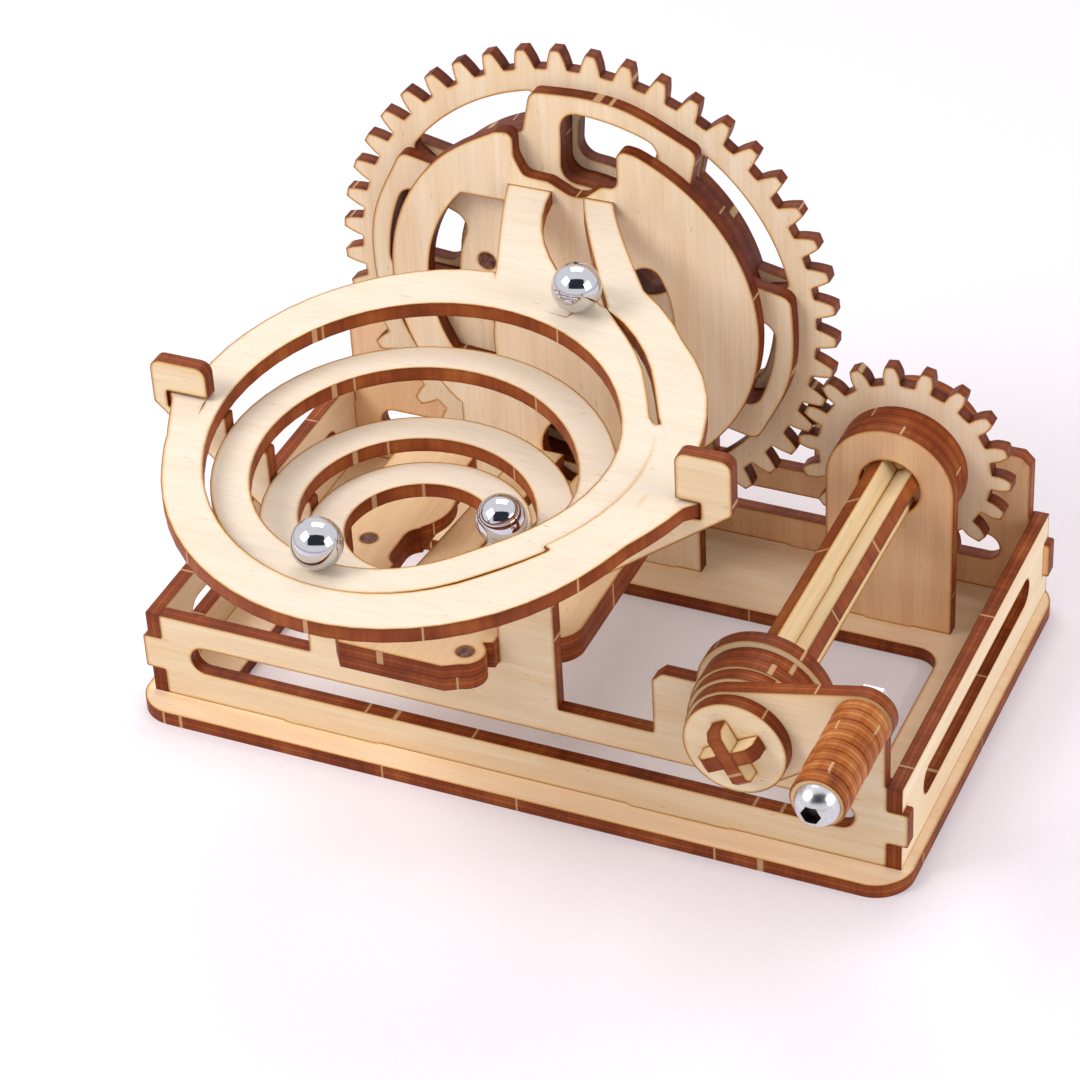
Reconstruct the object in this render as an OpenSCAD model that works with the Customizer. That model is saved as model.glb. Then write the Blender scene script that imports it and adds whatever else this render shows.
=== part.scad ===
/* [Sheet and fits] */
// Thickness of the plywood sheet that every flat piece is cut from
sheet_t = 3; // [2.8:0.1:3.2]
// Clearance round tabs and between the shaft and its discs
tab_fit = 0.05; // [0.02:0.01:0.1]
// Radial running clearance of the shaft, the axle and the grip
run_fit = 0.08; // [0.03:0.01:0.1]
// Gap between flat faces that turn past each other
face_gap = 0.5; // [0.3:0.1:0.6]
// Gap under the funnel where its frame carries it
seat_gap = 0.3; // [0.2:0.05:0.4]

/* [Base plate and walls] */
// Width of the base plate
plate_w = 166.4; // [164:0.4:170]
// How far the plate stands out in front of the wall box
plate_front = 6.3; // [4:0.1:8]
// How far the plate stands out behind the wall box
plate_back = 2.4; // [1.5:0.1:4]
// Corner radius of the plate
plate_r = 8; // [5:0.5:10]
// Width of the window in the plate
window_w = 134; // [126:1:138]
// Depth of the window in the plate
window_d = 59.5; // [54:0.5:60]
// Corner radius of the window
window_r = 5; // [3:0.5:6]
// Width of the wall box outside
box_w = 161.8; // [160:0.2:162.4]
// Depth of the wall box outside
box_d = 94; // [93:0.5:95]
// Height of the walls
wall_h = 20; // [19:0.5:21]
// Height of the long slots in the walls
slot_h = 6.3; // [5:0.1:7]
// Height of the corner tabs
corner_tab_h = 8; // [7:0.5:9]
// How far a corner tab stands out of the side wall
corner_tab_out = 1.3; // [0.8:0.1:1.6]

/* [Gears] */
// Teeth on the big wheel
wheel_teeth = 45; // [45:1:45]
// Teeth on the pinion
pinion_teeth = 18; // [18:1:18]
// Gear module, which is pitch diameter over teeth
gear_module = 2.38; // [2.36:0.01:2.4]
// Pressure angle of the teeth in degrees
pressure_angle = 20; // [18:1:22]
// Height of a tooth above the pitch circle
addendum = 1.55; // [1.3:0.05:1.6]
// Depth of a tooth below the pitch circle
dedendum = 2.65; // [2.4:0.05:2.7]
// Width taken off each tooth for easy running
backlash = 0.45; // [0.3:0.05:0.6]

/* [Wheel] */
// Centre of the wheel from the middle of the box
wheel_x = -16.5; // [-17:0.1:-16]
// Height of the wheel's centre
wheel_z = 64.95; // [64.5:0.05:65.5]
// Radius inside the toothed rim
rim_r = 46; // [45.5:0.1:46.5]
// Radius of the web between the lobes
web_r = 38.7; // [38:0.1:39.5]
// Angle that one lobe takes up
lobe_angle = 47; // [42:1:50]
// Radius of the lobes, which lie over the toothed rim
lobe_r = 47.4; // [46.6:0.1:48]
// Angle of the first lobe above level
lobe_start = -12; // [-14:1:-10]
// Radius of the inner edge of a ball pocket
pocket_in_r = 27; // [26.5:0.1:27.5]
// Radius of the outer edge of a ball pocket
pocket_out_r = 43; // [42.6:0.1:43.4]
// Angle that a ball pocket takes up
pocket_angle = 32; // [30:1:33]
// Radius where the wheel's pegs sit
peg_ring_r = 21; // [20:0.5:22]
// Radius of a peg
peg_r = 2; // [1.6:0.1:2.2]
// Radius of the wheel's axle
axle_r = 3; // [2.6:0.1:3.4]

/* [Shaft and crank] */
// Centre of the shaft from the middle of the box
shaft_x = 53.2; // [53:0.1:53.4]
// Width of each of the two strips that cross in the shaft
strip_w = 12.4; // [12:0.1:12.8]
// Angle of the first strip at rest
strip_angle = 29; // [20:1:40]
// How far the shaft stands out of the front cap
shaft_out = 4; // [3:0.5:5]
// Radius of the bearing arches and pinion spacers
arch_r = 13.7; // [13.2:0.1:14]
// Radius of the hub discs
hub_r = 12.4; // [12:0.1:12.8]
// Radius of the small hub disc
hub_small_r = 11.8; // [11.4:0.1:12.2]
// Radius of the front cap
cap_r = 10.3; // [10:0.1:10.8]
// Length of the crank from shaft to grip
crank_l = 26.4; // [25.5:0.1:27.5]
// Angle of the crank at rest
crank_angle = 24.6; // [15:0.1:35]
// Radius of the crank arm round the shaft
arm_hub_r = 11; // [10.6:0.1:11.4]
// Radius of the crank arm round the grip
arm_tip_r = 5.8; // [5.4:0.1:6.2]
// Radius of the grip
grip_r = 5.5; // [5.2:0.1:5.8]
// Rings that make up the grip
grip_rings = 8; // [8:1:8]
// Radius of the grip bolt
bolt_r = 2; // [1.8:0.1:2.2]
// Radius of the bolt's head
bolt_head_r = 4.5; // [4.2:0.1:4.8]
// Height of the bolt's head
bolt_head_h = 4; // [3.6:0.1:4.4]

/* [Funnel and rails] */
// Centre of the funnel from the middle of the box
funnel_x = -17.5; // [-18:0.1:-17]
// Radius inside the funnel's rim ring
ring_in_r = 39.6; // [39.3:0.1:39.9]
// Step of the spiral from one turn to the next
turn_step = 8.45; // [8.3:0.05:8.6]
// Slit that the cutter leaves between two turns
slit = 0.9; // [0.7:0.1:1.2]
// Height of the rim's top where the frame holds it
rim_z = 79.5; // [79:0.1:80]
// Rise of the rim towards the rails
rim_rise = 5.9; // [5.6:0.05:6.2]
// Sag of the rim in front and behind
rim_sag = 0.6; // [0.4:0.05:0.8]
// Height of the innermost turn's top
hole_z = 59; // [58.5:0.1:59.5]
// Height of the rails' top at the guide plate
rail_z = 91.4; // [91:0.1:91.8]
// Diameter of a ball
ball_d = 10; // [9.6:0.1:10.2]

/* [Deck and ramp] */
// Height of the underside of the lower deck
deck_z = 31.5; // [31:0.1:32]
// Width of the deck's tongue in front of the wall
tongue_w = 31.4; // [30:0.2:32]
// How far the tongue stands out of the wall
tongue_out = 11.8; // [10:0.2:13]
// Width of each ramp strip
ramp_w = 9; // [8.6:0.1:9.4]
// Gap between the ramp strips
ramp_gap = 6; // [5.5:0.1:6.5]

/* [Hidden] */
$fn = 96;
// One overrun serves all cuts
over = 0.5 * sheet_t;
quarter = 90;
full_turn = 360;

// Colours of pale birch ply, the ply that lies in shade, and bright steel
ply = [0.91, 0.80, 0.62];
ply_warm = [0.86, 0.72, 0.52];
steel = [0.78, 0.79, 0.81];

// x is measured from the middle of the wall box and z from the table. y is measured from the middle
// of the whole toy, from the funnel's front to the plate's back
rim_front_share = 1.18;
funnel_reach = ring_in_r + rim_front_share * turn_step;
box_mid_y = (funnel_reach - sheet_t / 2 - plate_back) / 2;
box_x1 = box_w / 2;
box_y1 = box_mid_y + box_d / 2;
inner_x1 = box_x1 - sheet_t;
front_y = box_mid_y - box_d / 2;
inner_y0 = front_y + sheet_t;
inner_y1 = box_y1 - sheet_t;
wall_top = sheet_t + wall_h;
back_y = inner_y1;

// Slots and corner tabs lie at these heights in every wall
slot_low_share = 0.37;
slot_z0 = sheet_t + slot_low_share * wall_h;
slot_z1 = slot_z0 + slot_h;
tab_low_share = 0.3;
corner_z0 = sheet_t + tab_low_share * wall_h;
corner_z1 = corner_z0 + corner_tab_h;

// Gears: the shaft's height follows from the centre distance
wheel_pitch_r = gear_module * wheel_teeth / 2;
pinion_pitch_r = gear_module * pinion_teeth / 2;
centres = wheel_pitch_r + pinion_pitch_r;
shaft_dx = shaft_x - wheel_x;
mesh_angle = -acos(shaft_dx / centres);
shaft_z = wheel_z + centres * sin(mesh_angle);

// Layers along the depth, counted forwards from the back wall
gear_back_gap = 2 * sheet_t + 0.1 * sheet_t / 3;
gear_y = back_y - gear_back_gap - sheet_t;
lobe_front_y = gear_y - sheet_t;
lobe_back_y = gear_y + sheet_t;
guide_y = lobe_front_y - face_gap - sheet_t;
post_y = lobe_front_y - 2 * sheet_t - face_gap / 5;

// Layers of the crank end, counted forwards from the front wall
crank_gap = 0.6 * face_gap;
hub_1_y = front_y - crank_gap - sheet_t;
hub_2_y = hub_1_y - sheet_t;
hub_3_y = hub_2_y - sheet_t;
arm_y = hub_3_y - sheet_t;
cap_y = arm_y - sheet_t;
shaft_y0 = cap_y - shaft_out;
shaft_y1 = box_y1 + face_gap;
shaft_corner_r = sqrt(pow(strip_w / 2, 2) + pow(sheet_t / 2, 2));
shaft_bore_r = shaft_corner_r + run_fit;
grip_x = shaft_x + crank_l * cos(crank_angle);
grip_z = shaft_z + crank_l * sin(crank_angle);
grip_y1 = arm_y - crank_gap;
grip_y0 = grip_y1 - grip_rings * sheet_t;
bolt_face_y = grip_y0 - crank_gap;
nut_t = 1.6 * bolt_r;
nut_across = 3.5 * bolt_r;

// Upright plate across the width, its front face at y, drawn as x and z
module upright(y, t = sheet_t) {
    translate([0, y + t, 0]) rotate([quarter, 0, 0]) linear_extrude(t) children();
}

// Upright plate along the depth, its left face at x, drawn as y and z
module sideways(x) {
    translate([x, 0, 0]) rotate([quarter, 0, quarter]) linear_extrude(sheet_t) children();
}

// Flat plate, its underside at z, drawn as x and y
module lying(z) {
    translate([0, 0, z]) linear_extrude(sheet_t) children();
}

module area(x0, x1, y0, y1) {
    translate([x0, y0]) square([x1 - x0, y1 - y0]);
}

module round_area(x0, x1, y0, y1, r) {
    area(x0 + r, x1 - r, y0, y1);
    area(x0, x1, y0 + r, y1 - r);
    for (x = [x0 + r, x1 - r], y = [y0 + r, y1 - r]) translate([x, y]) circle(r);
}

// Outer corners leave the cutter a little rounded
corner_soft_r = sheet_t / 6;
module soft_outline() {
    offset(corner_soft_r, $fn = 16) offset(delta = -corner_soft_r) children();
}

// A long slot with round ends
module slot_area(x0, x1, y0, y1) {
    r = (y1 - y0) / 2;
    area(x0 + r, x1 - r, y0, y1);
    for (x = [x0 + r, x1 - r]) translate([x, y0 + r]) circle(r);
}

function on_circle(r, a) = [r * cos(a), r * sin(a)];
function arc(r, a0, a1, steps = 10) = [for (i = [0 : steps]) on_circle(r, a0 + (a1 - a0) * i / steps)];
function ring_sector(r0, r1, a0, a1) = concat(arc(r1, a0, a1), arc(r0, a1, a0));

// Ring sector with its corners rounded to r
module soft_sector(r0, r1, a0, a1, r) {
    mid = (r0 + r1) / 2;
    trim = r / mid * 180 / PI;
    offset(r, $fn = 16) polygon(ring_sector(r0 + r, r1 - r, a0 + trim, a1 - trim));
}

// Involute gear outline: half the tooth's angle at radius r from the involute of the base circle
function involute(angle) = tan(angle) - angle * PI / 180;
function half_tooth(teeth, pitch_r, base_r, r) =
    90 / teeth - backlash / 2 / pitch_r * 180 / PI
    + (involute(pressure_angle) - involute(acos(min(1, base_r / max(r, base_r))))) * 180 / PI;

function gear_outline(teeth, phase) =
    let (
        pitch_r = gear_module * teeth / 2,
        base_r = pitch_r * cos(pressure_angle),
        root_r = pitch_r - dedendum,
        tip_r = pitch_r + addendum,
        low_r = max(root_r, base_r),
        flank = concat(root_r < low_r ? [root_r] : [], [for (i = [0 : 4]) low_r + (tip_r - low_r) * i / 4]),
        last = len(flank) - 1
    )
    [
        for (k = [0 : teeth - 1], i = [0 : 2 * last + 1])
            let (
                rising = i <= last,
                r = flank[rising ? i : 2 * last + 1 - i],
                half = half_tooth(teeth, pitch_r, base_r, r)
            )
            on_circle(r, phase + k * full_turn / teeth + (rising ? -half : half))
    ];

// Base plate: a window in the middle, and slots that take the feet of the upright plates
front_foot_w = 21;
front_feet = [-0.5 * box_x1, 0.435 * box_x1];
post_foot_w = 10;
guide_foot_w = 12;
tower_x0 = -43.5;
tower_x1 = 10.5;
post_x0 = 39.5;
post_x1 = 66.9;

module feet(y, centres_x, w, fit = 0) {
    for (x = centres_x) area(x - w / 2 - fit, x + w / 2 + fit, y - fit, y + sheet_t + fit);
}
module foot_tabs(centres_x, w) {
    for (x = centres_x) area(x - w / 2, x + w / 2, 0, sheet_t + over);
}
guide_feet = [tower_x0 + guide_foot_w, tower_x1 - guide_foot_w];
post_feet = [(post_x0 + post_x1) / 2];

module base_plate() {
    color(ply) lying(0) difference() {
        round_area(-plate_w / 2, plate_w / 2, front_y - plate_front, box_y1 + plate_back, plate_r);
        round_area(-window_w / 2, window_w / 2, window_y0, window_y0 + window_d, window_r);
        feet(front_y, front_feet, front_foot_w, tab_fit);
        feet(back_y, front_feet, front_foot_w, tab_fit);
        feet(guide_y, guide_feet, guide_foot_w, tab_fit);
        feet(post_y, post_feet, post_foot_w, tab_fit);
    }
}
window_front_w = 4;
window_y0 = front_y + sheet_t + window_front_w;

// Side walls: the corner tabs of the front and back walls pass through their ends
slot_end = 13;

module side_wall(x) {
    color(ply) sideways(x) difference() {
        area(front_y, box_y1, sheet_t, wall_top);
        area(front_y - over, inner_y0 + tab_fit, corner_z0 - tab_fit, corner_z1 + tab_fit);
        area(inner_y1 - tab_fit, box_y1 + over, corner_z0 - tab_fit, corner_z1 + tab_fit);
        slot_area(front_y + slot_end, box_y1 - slot_end, slot_z0, slot_z1);
    }
}
module left_wall() { side_wall(-box_x1); }
module right_wall() { side_wall(inner_x1); }

// Corner tabs of the front and back walls
module corner_tabs() {
    tip_x = box_x1 + corner_tab_out;
    for (side = [-1, 1])
        area(min(0, side * tip_x), max(0, side * tip_x), corner_z0, corner_z1);
}

// Bearing arch round the shaft, on shoulders that stand on the wall
shoulder_z = 38;
arch_wall_x0 = 30.5;
arch_wall_x1 = 77.5;

module arch_shape(x0, x1) {
    chamfer = 0.15 * arch_r;
    polygon([
        [x0, sheet_t + over], [x1, sheet_t + over], [x1, shoulder_z - chamfer], [x1 - chamfer, shoulder_z],
        [x0 + chamfer, shoulder_z], [x0, shoulder_z - chamfer]
    ]);
    translate([shaft_x, shaft_z]) circle(arch_r);
}
module shaft_bore() { translate([shaft_x, shaft_z]) circle(shaft_bore_r); }

// Spiral funnel: the winding angle a runs clockwise from the back. Each turn of the strip keeps
// its radius and moves one step inwards between shift_a0 and shift_a1
shift_a0 = 70;
shift_a1 = 140;
strip_band = turn_step - slit;
spiral_a0 = full_turn + shift_a0;
spiral_turns = 3;
spiral_a1 = full_turn * spiral_turns + shift_a1;
drop_power = 1.15;
lean_out_r = ring_in_r + strip_band / 2;
lean_in_r = lean_out_r - spiral_turns * turn_step;
funnel_y = front_y + sheet_t / 2;

function ease(s) = let (c = min(1, max(0, s))) c * c * (3 - 2 * c);
function turn_of(a) = floor((a - spiral_a0) / full_turn);
function turns_in(a) =
    a < spiral_a0 ? 0
    : min(spiral_turns, turn_of(a) + ease((a - spiral_a0 - turn_of(a) * full_turn) / (shift_a1 - shift_a0)));
function band_r(a) = lean_out_r - turn_step * turns_in(a);
function drop(a) = 1 - pow(1 - min(1, max(0, (a - spiral_a0) / (spiral_a1 - spiral_a0))), drop_power);
function lean(a) =
    let (share = (band_r(a) - lean_in_r) / (lean_out_r - lean_in_r))
    share * (rim_rise * cos(a) - rim_sag * pow(cos(a), 2));
function band_z(a) = rim_z - (rim_z - hole_z) * drop(a) + lean(a);
function funnel_point(r, a) = [funnel_x + r * sin(a), funnel_y + r * cos(a)];

// Edges of the strip: lane off the right rail, then the rim, then the inner turns at full step
lane_a0 = 24;
slot_tip_a = 65;
strip_a1 = spiral_a1 - shift_a0 / 7;
lane_in_shares = [[lane_a0, 1.39], [32, 1.27], [55, 0.87], [slot_tip_a, 0.79], [shift_a0, 1]];
rim_out_shares = [
    [lane_a0, 2.53], [42, 2.09], [57, 2.04], [84, 1.67], [112, 1.45], [135, 1.39], [180, rim_front_share],
    [245, 0.93], [270, 0.98], [300, 1.15], [345, 1.5], [full_turn, 1.46], [full_turn + 20, 1.5],
    [full_turn + 32, 1.1], [full_turn + 55, 0.69], [full_turn + slot_tip_a, 0.62],
    [spiral_a0, strip_band / turn_step]
];
function edge_in(a) =
    a < shift_a0 ? ring_in_r + turn_step * lookup(a, lane_in_shares)
    : a < spiral_a0 ? ring_in_r + turn_step * (1 - ease((a - shift_a0) / (shift_a1 - shift_a0)))
    : ring_in_r - turn_step * turns_in(a);
function edge_out(a) =
    a < spiral_a0 ? ring_in_r + turn_step * lookup(a, rim_out_shares) : edge_in(a) + strip_band;

// A section is its two top corners and its two bottom corners
function section(p, q, z, t = sheet_t) = [
    [p[0], p[1], z], [q[0], q[1], z], [q[0], q[1], z - t], [p[0], p[1], z - t]
];
function band_section(a) = section(funnel_point(edge_in(a), a), funnel_point(edge_out(a), a), band_z(a));

// One closed solid through a list of sections
module swept(sections) {
    last = len(sections) - 1;
    polyhedron(
        [for (s = sections) each s],
        concat(
            [[0, 2, 1], [0, 3, 2]],
            [
                for (i = [0 : last - 1], j = [0 : 3])
                    let (k = 4 * i + j, m = 4 * i + (j + 1) % 4)
                    each [[k, m, m + 4], [k, m + 4, k + 4]]
            ],
            [[4 * last, 4 * last + 1, 4 * last + 2], [4 * last, 4 * last + 2, 4 * last + 3]]
        )
    );
}
facet_a = 6;
function sweep_angles(a0, a1) =
    let (steps = ceil((a1 - a0) / facet_a)) [for (i = [0 : steps]) a0 + (a1 - a0) * i / steps];

// Rails: each runs forwards from the guide plate and swings to the right on to the rim
rail_l_x = [-29.5, -19.8];
rail_r_x = [-13, -6.3];
rail_bend = 1.15;
rail_steps = 8;
function along(p, q, s) = [p[0] + (q[0] - p[0]) * pow(s, rail_bend), p[1] + (q[1] - p[1]) * s];
rail_bow = 1.3 * sheet_t;
function rail_sections(from_x, to_l, to_r, to_z, last, bow = 0) = [
    for (i = [0 : last])
        let (s = i / rail_steps)
        section(along([from_x[0], guide_y], to_l, s),
            along([from_x[1], guide_y], to_r, s) - [bow * sin(2 * quarter * s), 0],
            rail_z + (to_z - rail_z) * s)
];
left_end_a = 19;
module right_rail_and_strip() {
    swept(concat(
        rail_sections(rail_r_x, funnel_point(edge_in(lane_a0), lane_a0),
            funnel_point(edge_out(lane_a0), lane_a0), band_z(lane_a0), rail_steps - 1),
        [for (a = sweep_angles(lane_a0, strip_a1)) band_section(a)]
    ));
}
// The left rail ends inside the rim, a hair lower than the rim's top
hair = sheet_t / 100;
module left_rail() {
    inside_r = ring_in_r + 0.5 * turn_step;
    outside_r = ring_in_r + 1.1 * turn_step;
    swept(concat(
        rail_sections(rail_l_x, funnel_point(outside_r, -left_end_a / 4),
            funnel_point(outside_r, left_end_a), band_z(left_end_a / 2) - hair, rail_steps, rail_bow),
        [section(funnel_point(inside_r, -left_end_a / 4), funnel_point(inside_r, left_end_a),
            band_z(left_end_a / 2) - hair)]
    ));
}
// The rim and the first turn are one sheet beside the slot's end, up to where the slit begins
slit_begin_a = 118;
module bridge() {
    lap = slit;
    swept([
        for (a = sweep_angles(slot_tip_a + facet_a / 2, slit_begin_a))
            section(
                funnel_point(edge_out(a + full_turn) - lap, a), funnel_point(edge_in(a) + lap, a),
                band_z(a) - hair, sheet_t - 2 * hair
            )
    ]);
}
module inner_ring() {
    r0 = ring_in_r - turn_step * spiral_turns;
    translate([funnel_x, funnel_y, hole_z - sheet_t]) rotate_extrude() area(r0, r0 + strip_band, 0, sheet_t);
}

// Spurs: at each side the rim's outer edge sweeps out into a thorn, which lies in a hook of the
// frame. Each step is its angle from the hook, its share of the thorn's reach and whether it is level
spur_steps = [
    [-2.2, 0.7, true], [-0.4, 0.98, true], [0.6, 1, true], [3.4, 0.62, true], [7.5, 0.42, false],
    [12, 0.26, false], [17, 0.12, false], [23, -0.04, false]
];
function spur_section(mid, side, reach, step) =
    let (a = mid + side * step[0], r0 = edge_out(a) - slit)
    section(funnel_point(r0 - strip_band / 2, a), funnel_point(r0 + (reach - r0) * max(0, step[1]), a),
        (step[2] ? rim_z : min(rim_z, band_z(a))) - hair, sheet_t - 2 * hair);
module spurs() {
    last = len(spur_steps) - 1;
    swept([for (i = [0 : last])
        spur_section(quarter, 1, hook_r_notch - tab_fit - funnel_x, spur_steps[i])]);
    swept([for (i = [last : -1 : 0])
        spur_section(3 * quarter, -1, funnel_x - hook_l_notch - tab_fit, spur_steps[i])]);
}
// Rails, rim, turns and inner ring are one sheet; resize leaves every size as it is
module funnel_track() {
    color(ply) resize([0, 0, 0]) union() {
        right_rail_and_strip();
        left_rail();
        bridge();
        inner_ring();
        spurs();
    }
}

// Front cradle: the front wall rises into a tower whose two arms step up under the funnel's turns
hook_l_x0 = -72;
hook_l_x1 = -60;
hook_l_notch = -69;
hook_r_x0 = 36.5;
hook_r_x1 = 47.6;
hook_r_notch = 41.5;
hook_l_top = 86.8;
hook_r_top = 90.4;
hook_r = 0.7 * sheet_t;
arm_root_z = 50;
arm_rise_share = 0.7;
notch_h = sheet_t + 1.5 * face_gap;
hook_floor = rim_z - sheet_t - seat_gap / 3;
drop_x0 = -33;
drop_x1 = -1.5;
low_notch_x1 = 30.5;
low_notch_r = 2;

function ledge(a) = band_z(a) - sheet_t - seat_gap;
function left_edge(turn) = funnel_x - band_r(270 + full_turn * turn) - turn_step / 2;
function right_edge(turn) = funnel_x + band_r(quarter + full_turn * turn) + turn_step / 2;

module arms() {
    foot_r_z = hook_floor + arm_rise_share * sheet_t;
    foot_l_z = hook_floor + sheet_t / 4;
    polygon(concat(
        [
            [tower_x0, sheet_t + over], [tower_x0, arm_root_z],
            [hook_l_x0, foot_l_z], [hook_l_x0, foot_l_z + sheet_t]
        ],
        [
            for (turn = [1 : 3]) each [
                [left_edge(turn), turn == 1 ? hook_floor + over : ledge(270 + full_turn * (turn - 1))],
                [left_edge(turn), ledge(270 + full_turn * turn)]
            ]
        ],
        [[right_edge(4), ledge(270 + full_turn * 3)]],
        [
            for (turn = [3 : -1 : 2]) each [
                [right_edge(turn + 1), ledge(quarter + full_turn * turn)],
                [right_edge(turn), ledge(quarter + full_turn * turn)]
            ]
        ],
        [
            [right_edge(2), ledge(quarter + full_turn)], [hook_r_x0, ledge(quarter + full_turn)],
            [hook_r_x0, hook_floor + over], [hook_r_x1, foot_r_z + over],
            [hook_r_x1, foot_r_z], [tower_x1, arm_root_z], [tower_x1, sheet_t + over]
        ]
    ));
}
module hook(x0, x1, top) {
    foot_z = hook_floor + arm_rise_share * sheet_t;
    round_area(x0, x1, foot_z, top, hook_r);
    area(x0, x1, foot_z, foot_z + 2 * hook_r);
}
// The hooks reach over the rim, which lies in a notch that is open towards the funnel
module hook_notches() {
    area(hook_l_notch, left_edge(1) + over, hook_floor, hook_floor + notch_h);
    area(hook_r_x0 - over, hook_r_notch, hook_floor, hook_floor + notch_h);
}
module front_cradle() {
    color(ply) upright(front_y) difference() {
        soft_outline() {
            area(-inner_x1, inner_x1, sheet_t, wall_top);
            corner_tabs();
            foot_tabs(front_feet, front_foot_w);
            arms();
            hook(hook_l_x0, hook_l_x1, hook_l_top);
            hook(hook_r_x0, hook_r_x1, hook_r_top);
            arch_shape(arch_wall_x0, arch_wall_x1);
        }
        slot_area(-inner_x1 + slot_end / 2, inner_x1 - slot_end / 2, slot_z0, slot_z1);
        hook_notches();
        area(drop_x0, drop_x1, deck_z, arm_root_z + deck_z);
        shaft_bore();
    }
}

// Back wall: a bearing arch for the shaft and a tall one for the wheel's axle
tall_x0 = -77.5;
tall_x1 = 8;
tall_z = 46;
axle_arch_r = 12;
module back_wall() {
    color(ply_warm) upright(back_y) difference() {
        soft_outline() {
            area(-inner_x1, inner_x1, sheet_t, wall_top);
            corner_tabs();
            foot_tabs(front_feet, front_foot_w);
            arch_shape(arch_wall_x0, arch_wall_x1);
            area(tall_x0, tall_x1, sheet_t + over, tall_z);
            translate([wheel_x, wheel_z]) circle(axle_arch_r);
            area(wheel_x - axle_arch_r, wheel_x + axle_arch_r, tall_z - over, wheel_z);
        }
        slot_area(-inner_x1 + slot_end / 2, inner_x1 - slot_end / 2, slot_z0, slot_z1);
        translate([wheel_x, wheel_z]) circle(axle_r + tab_fit);
        shaft_bore();
    }
}

// Pinion post: the inner bearing of the shaft
module pinion_post() {
    color(ply_warm) upright(post_y) difference() {
        union() {
            area(post_x0, post_x1, sheet_t, shaft_z);
            foot_tabs(post_feet, post_foot_w);
            translate([shaft_x, shaft_z]) circle((post_x1 - post_x0) / 2);
        }
        shaft_bore();
    }
}

// Wheel guide: the fixed disc that keeps the balls in the wheel until they reach the top
guide_r = 41;
guide_out_r = 32.5;
port_z = 28;
port_r = 8.5;
kidney_r0 = 14;
kidney_r1 = 22.3;
chute_w = 22;
chute_z = 94.5;
chute_dip = 3.4;
chute_soft_r = 0.6 * sheet_t;
rail_tab_w = 4;
rail_tabs = [-24.6, -9.3];

module guide_window() {
    polygon(concat(
        [for (p = arc(guide_out_r, 137, 212)) [wheel_x + p[0], wheel_z + p[1]]],
        [
            [wheel_x - 0.55 * guide_out_r, wheel_z - 0.55 * guide_out_r],
            [wheel_x - 0.55 * guide_out_r, wheel_z - 0.21 * guide_out_r],
            [wheel_x - 0.35 * guide_out_r, wheel_z + 0.15 * guide_out_r],
            [wheel_x - 0.35 * guide_out_r, wheel_z + 0.68 * guide_out_r]
        ]
    ));
}
module chute_cut() {
    top = wheel_z + guide_r + over;
    polygon([
        [wheel_x - 0.52 * chute_w, top], [wheel_x - 0.52 * chute_w, chute_z + chute_dip],
        [wheel_x - 0.43 * chute_w, chute_z - 0.2 * chute_dip], [wheel_x - 0.18 * chute_w, chute_z - 0.3 * chute_dip],
        [wheel_x + 0.03 * chute_w, chute_z - chute_dip], [wheel_x + 0.16 * chute_w, chute_z - chute_dip],
        [wheel_x + 0.34 * chute_w, chute_z], [wheel_x + 0.5 * chute_w, chute_z], [wheel_x + 0.5 * chute_w, top]
    ]);
}
module wheel_guide() {
    color(ply) upright(guide_y) difference() {
        union() {
            offset(chute_soft_r, $fn = 16) offset(-2 * chute_soft_r, $fn = 16)
                offset(chute_soft_r, $fn = 16) difference() {
                translate([wheel_x, wheel_z]) circle(guide_r);
                chute_cut();
            }
            area(tower_x0, tower_x1, sheet_t, wheel_z - guide_r / 2);
            foot_tabs(guide_feet, guide_foot_w);
        }
        guide_window();
        translate([wheel_x, wheel_z]) soft_sector(kidney_r0, kidney_r1, -25, 38, sheet_t);
        translate([wheel_x, port_z]) circle(port_r);
        translate([wheel_x, wheel_z]) circle(axle_r + tab_fit);
    }
}

// Exit deck: two stacked plates that catch the ball under the funnel, and a ramp back to the wheel
deck_x = (drop_x0 + drop_x1) / 2;
deck_w = 60;
deck_l = 52;
deck_y1 = inner_y0 + deck_l;
deck_mouth_w = 27;
deck_mouth_inset = 8;
deck_mouth_y = inner_y0 + deck_mouth_inset;
deck_peg_r = 1.8;
deck_pegs_at = [[-22, 18], [22, 18], [-20, 42], [20, 42], [11.5, -9]];

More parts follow.
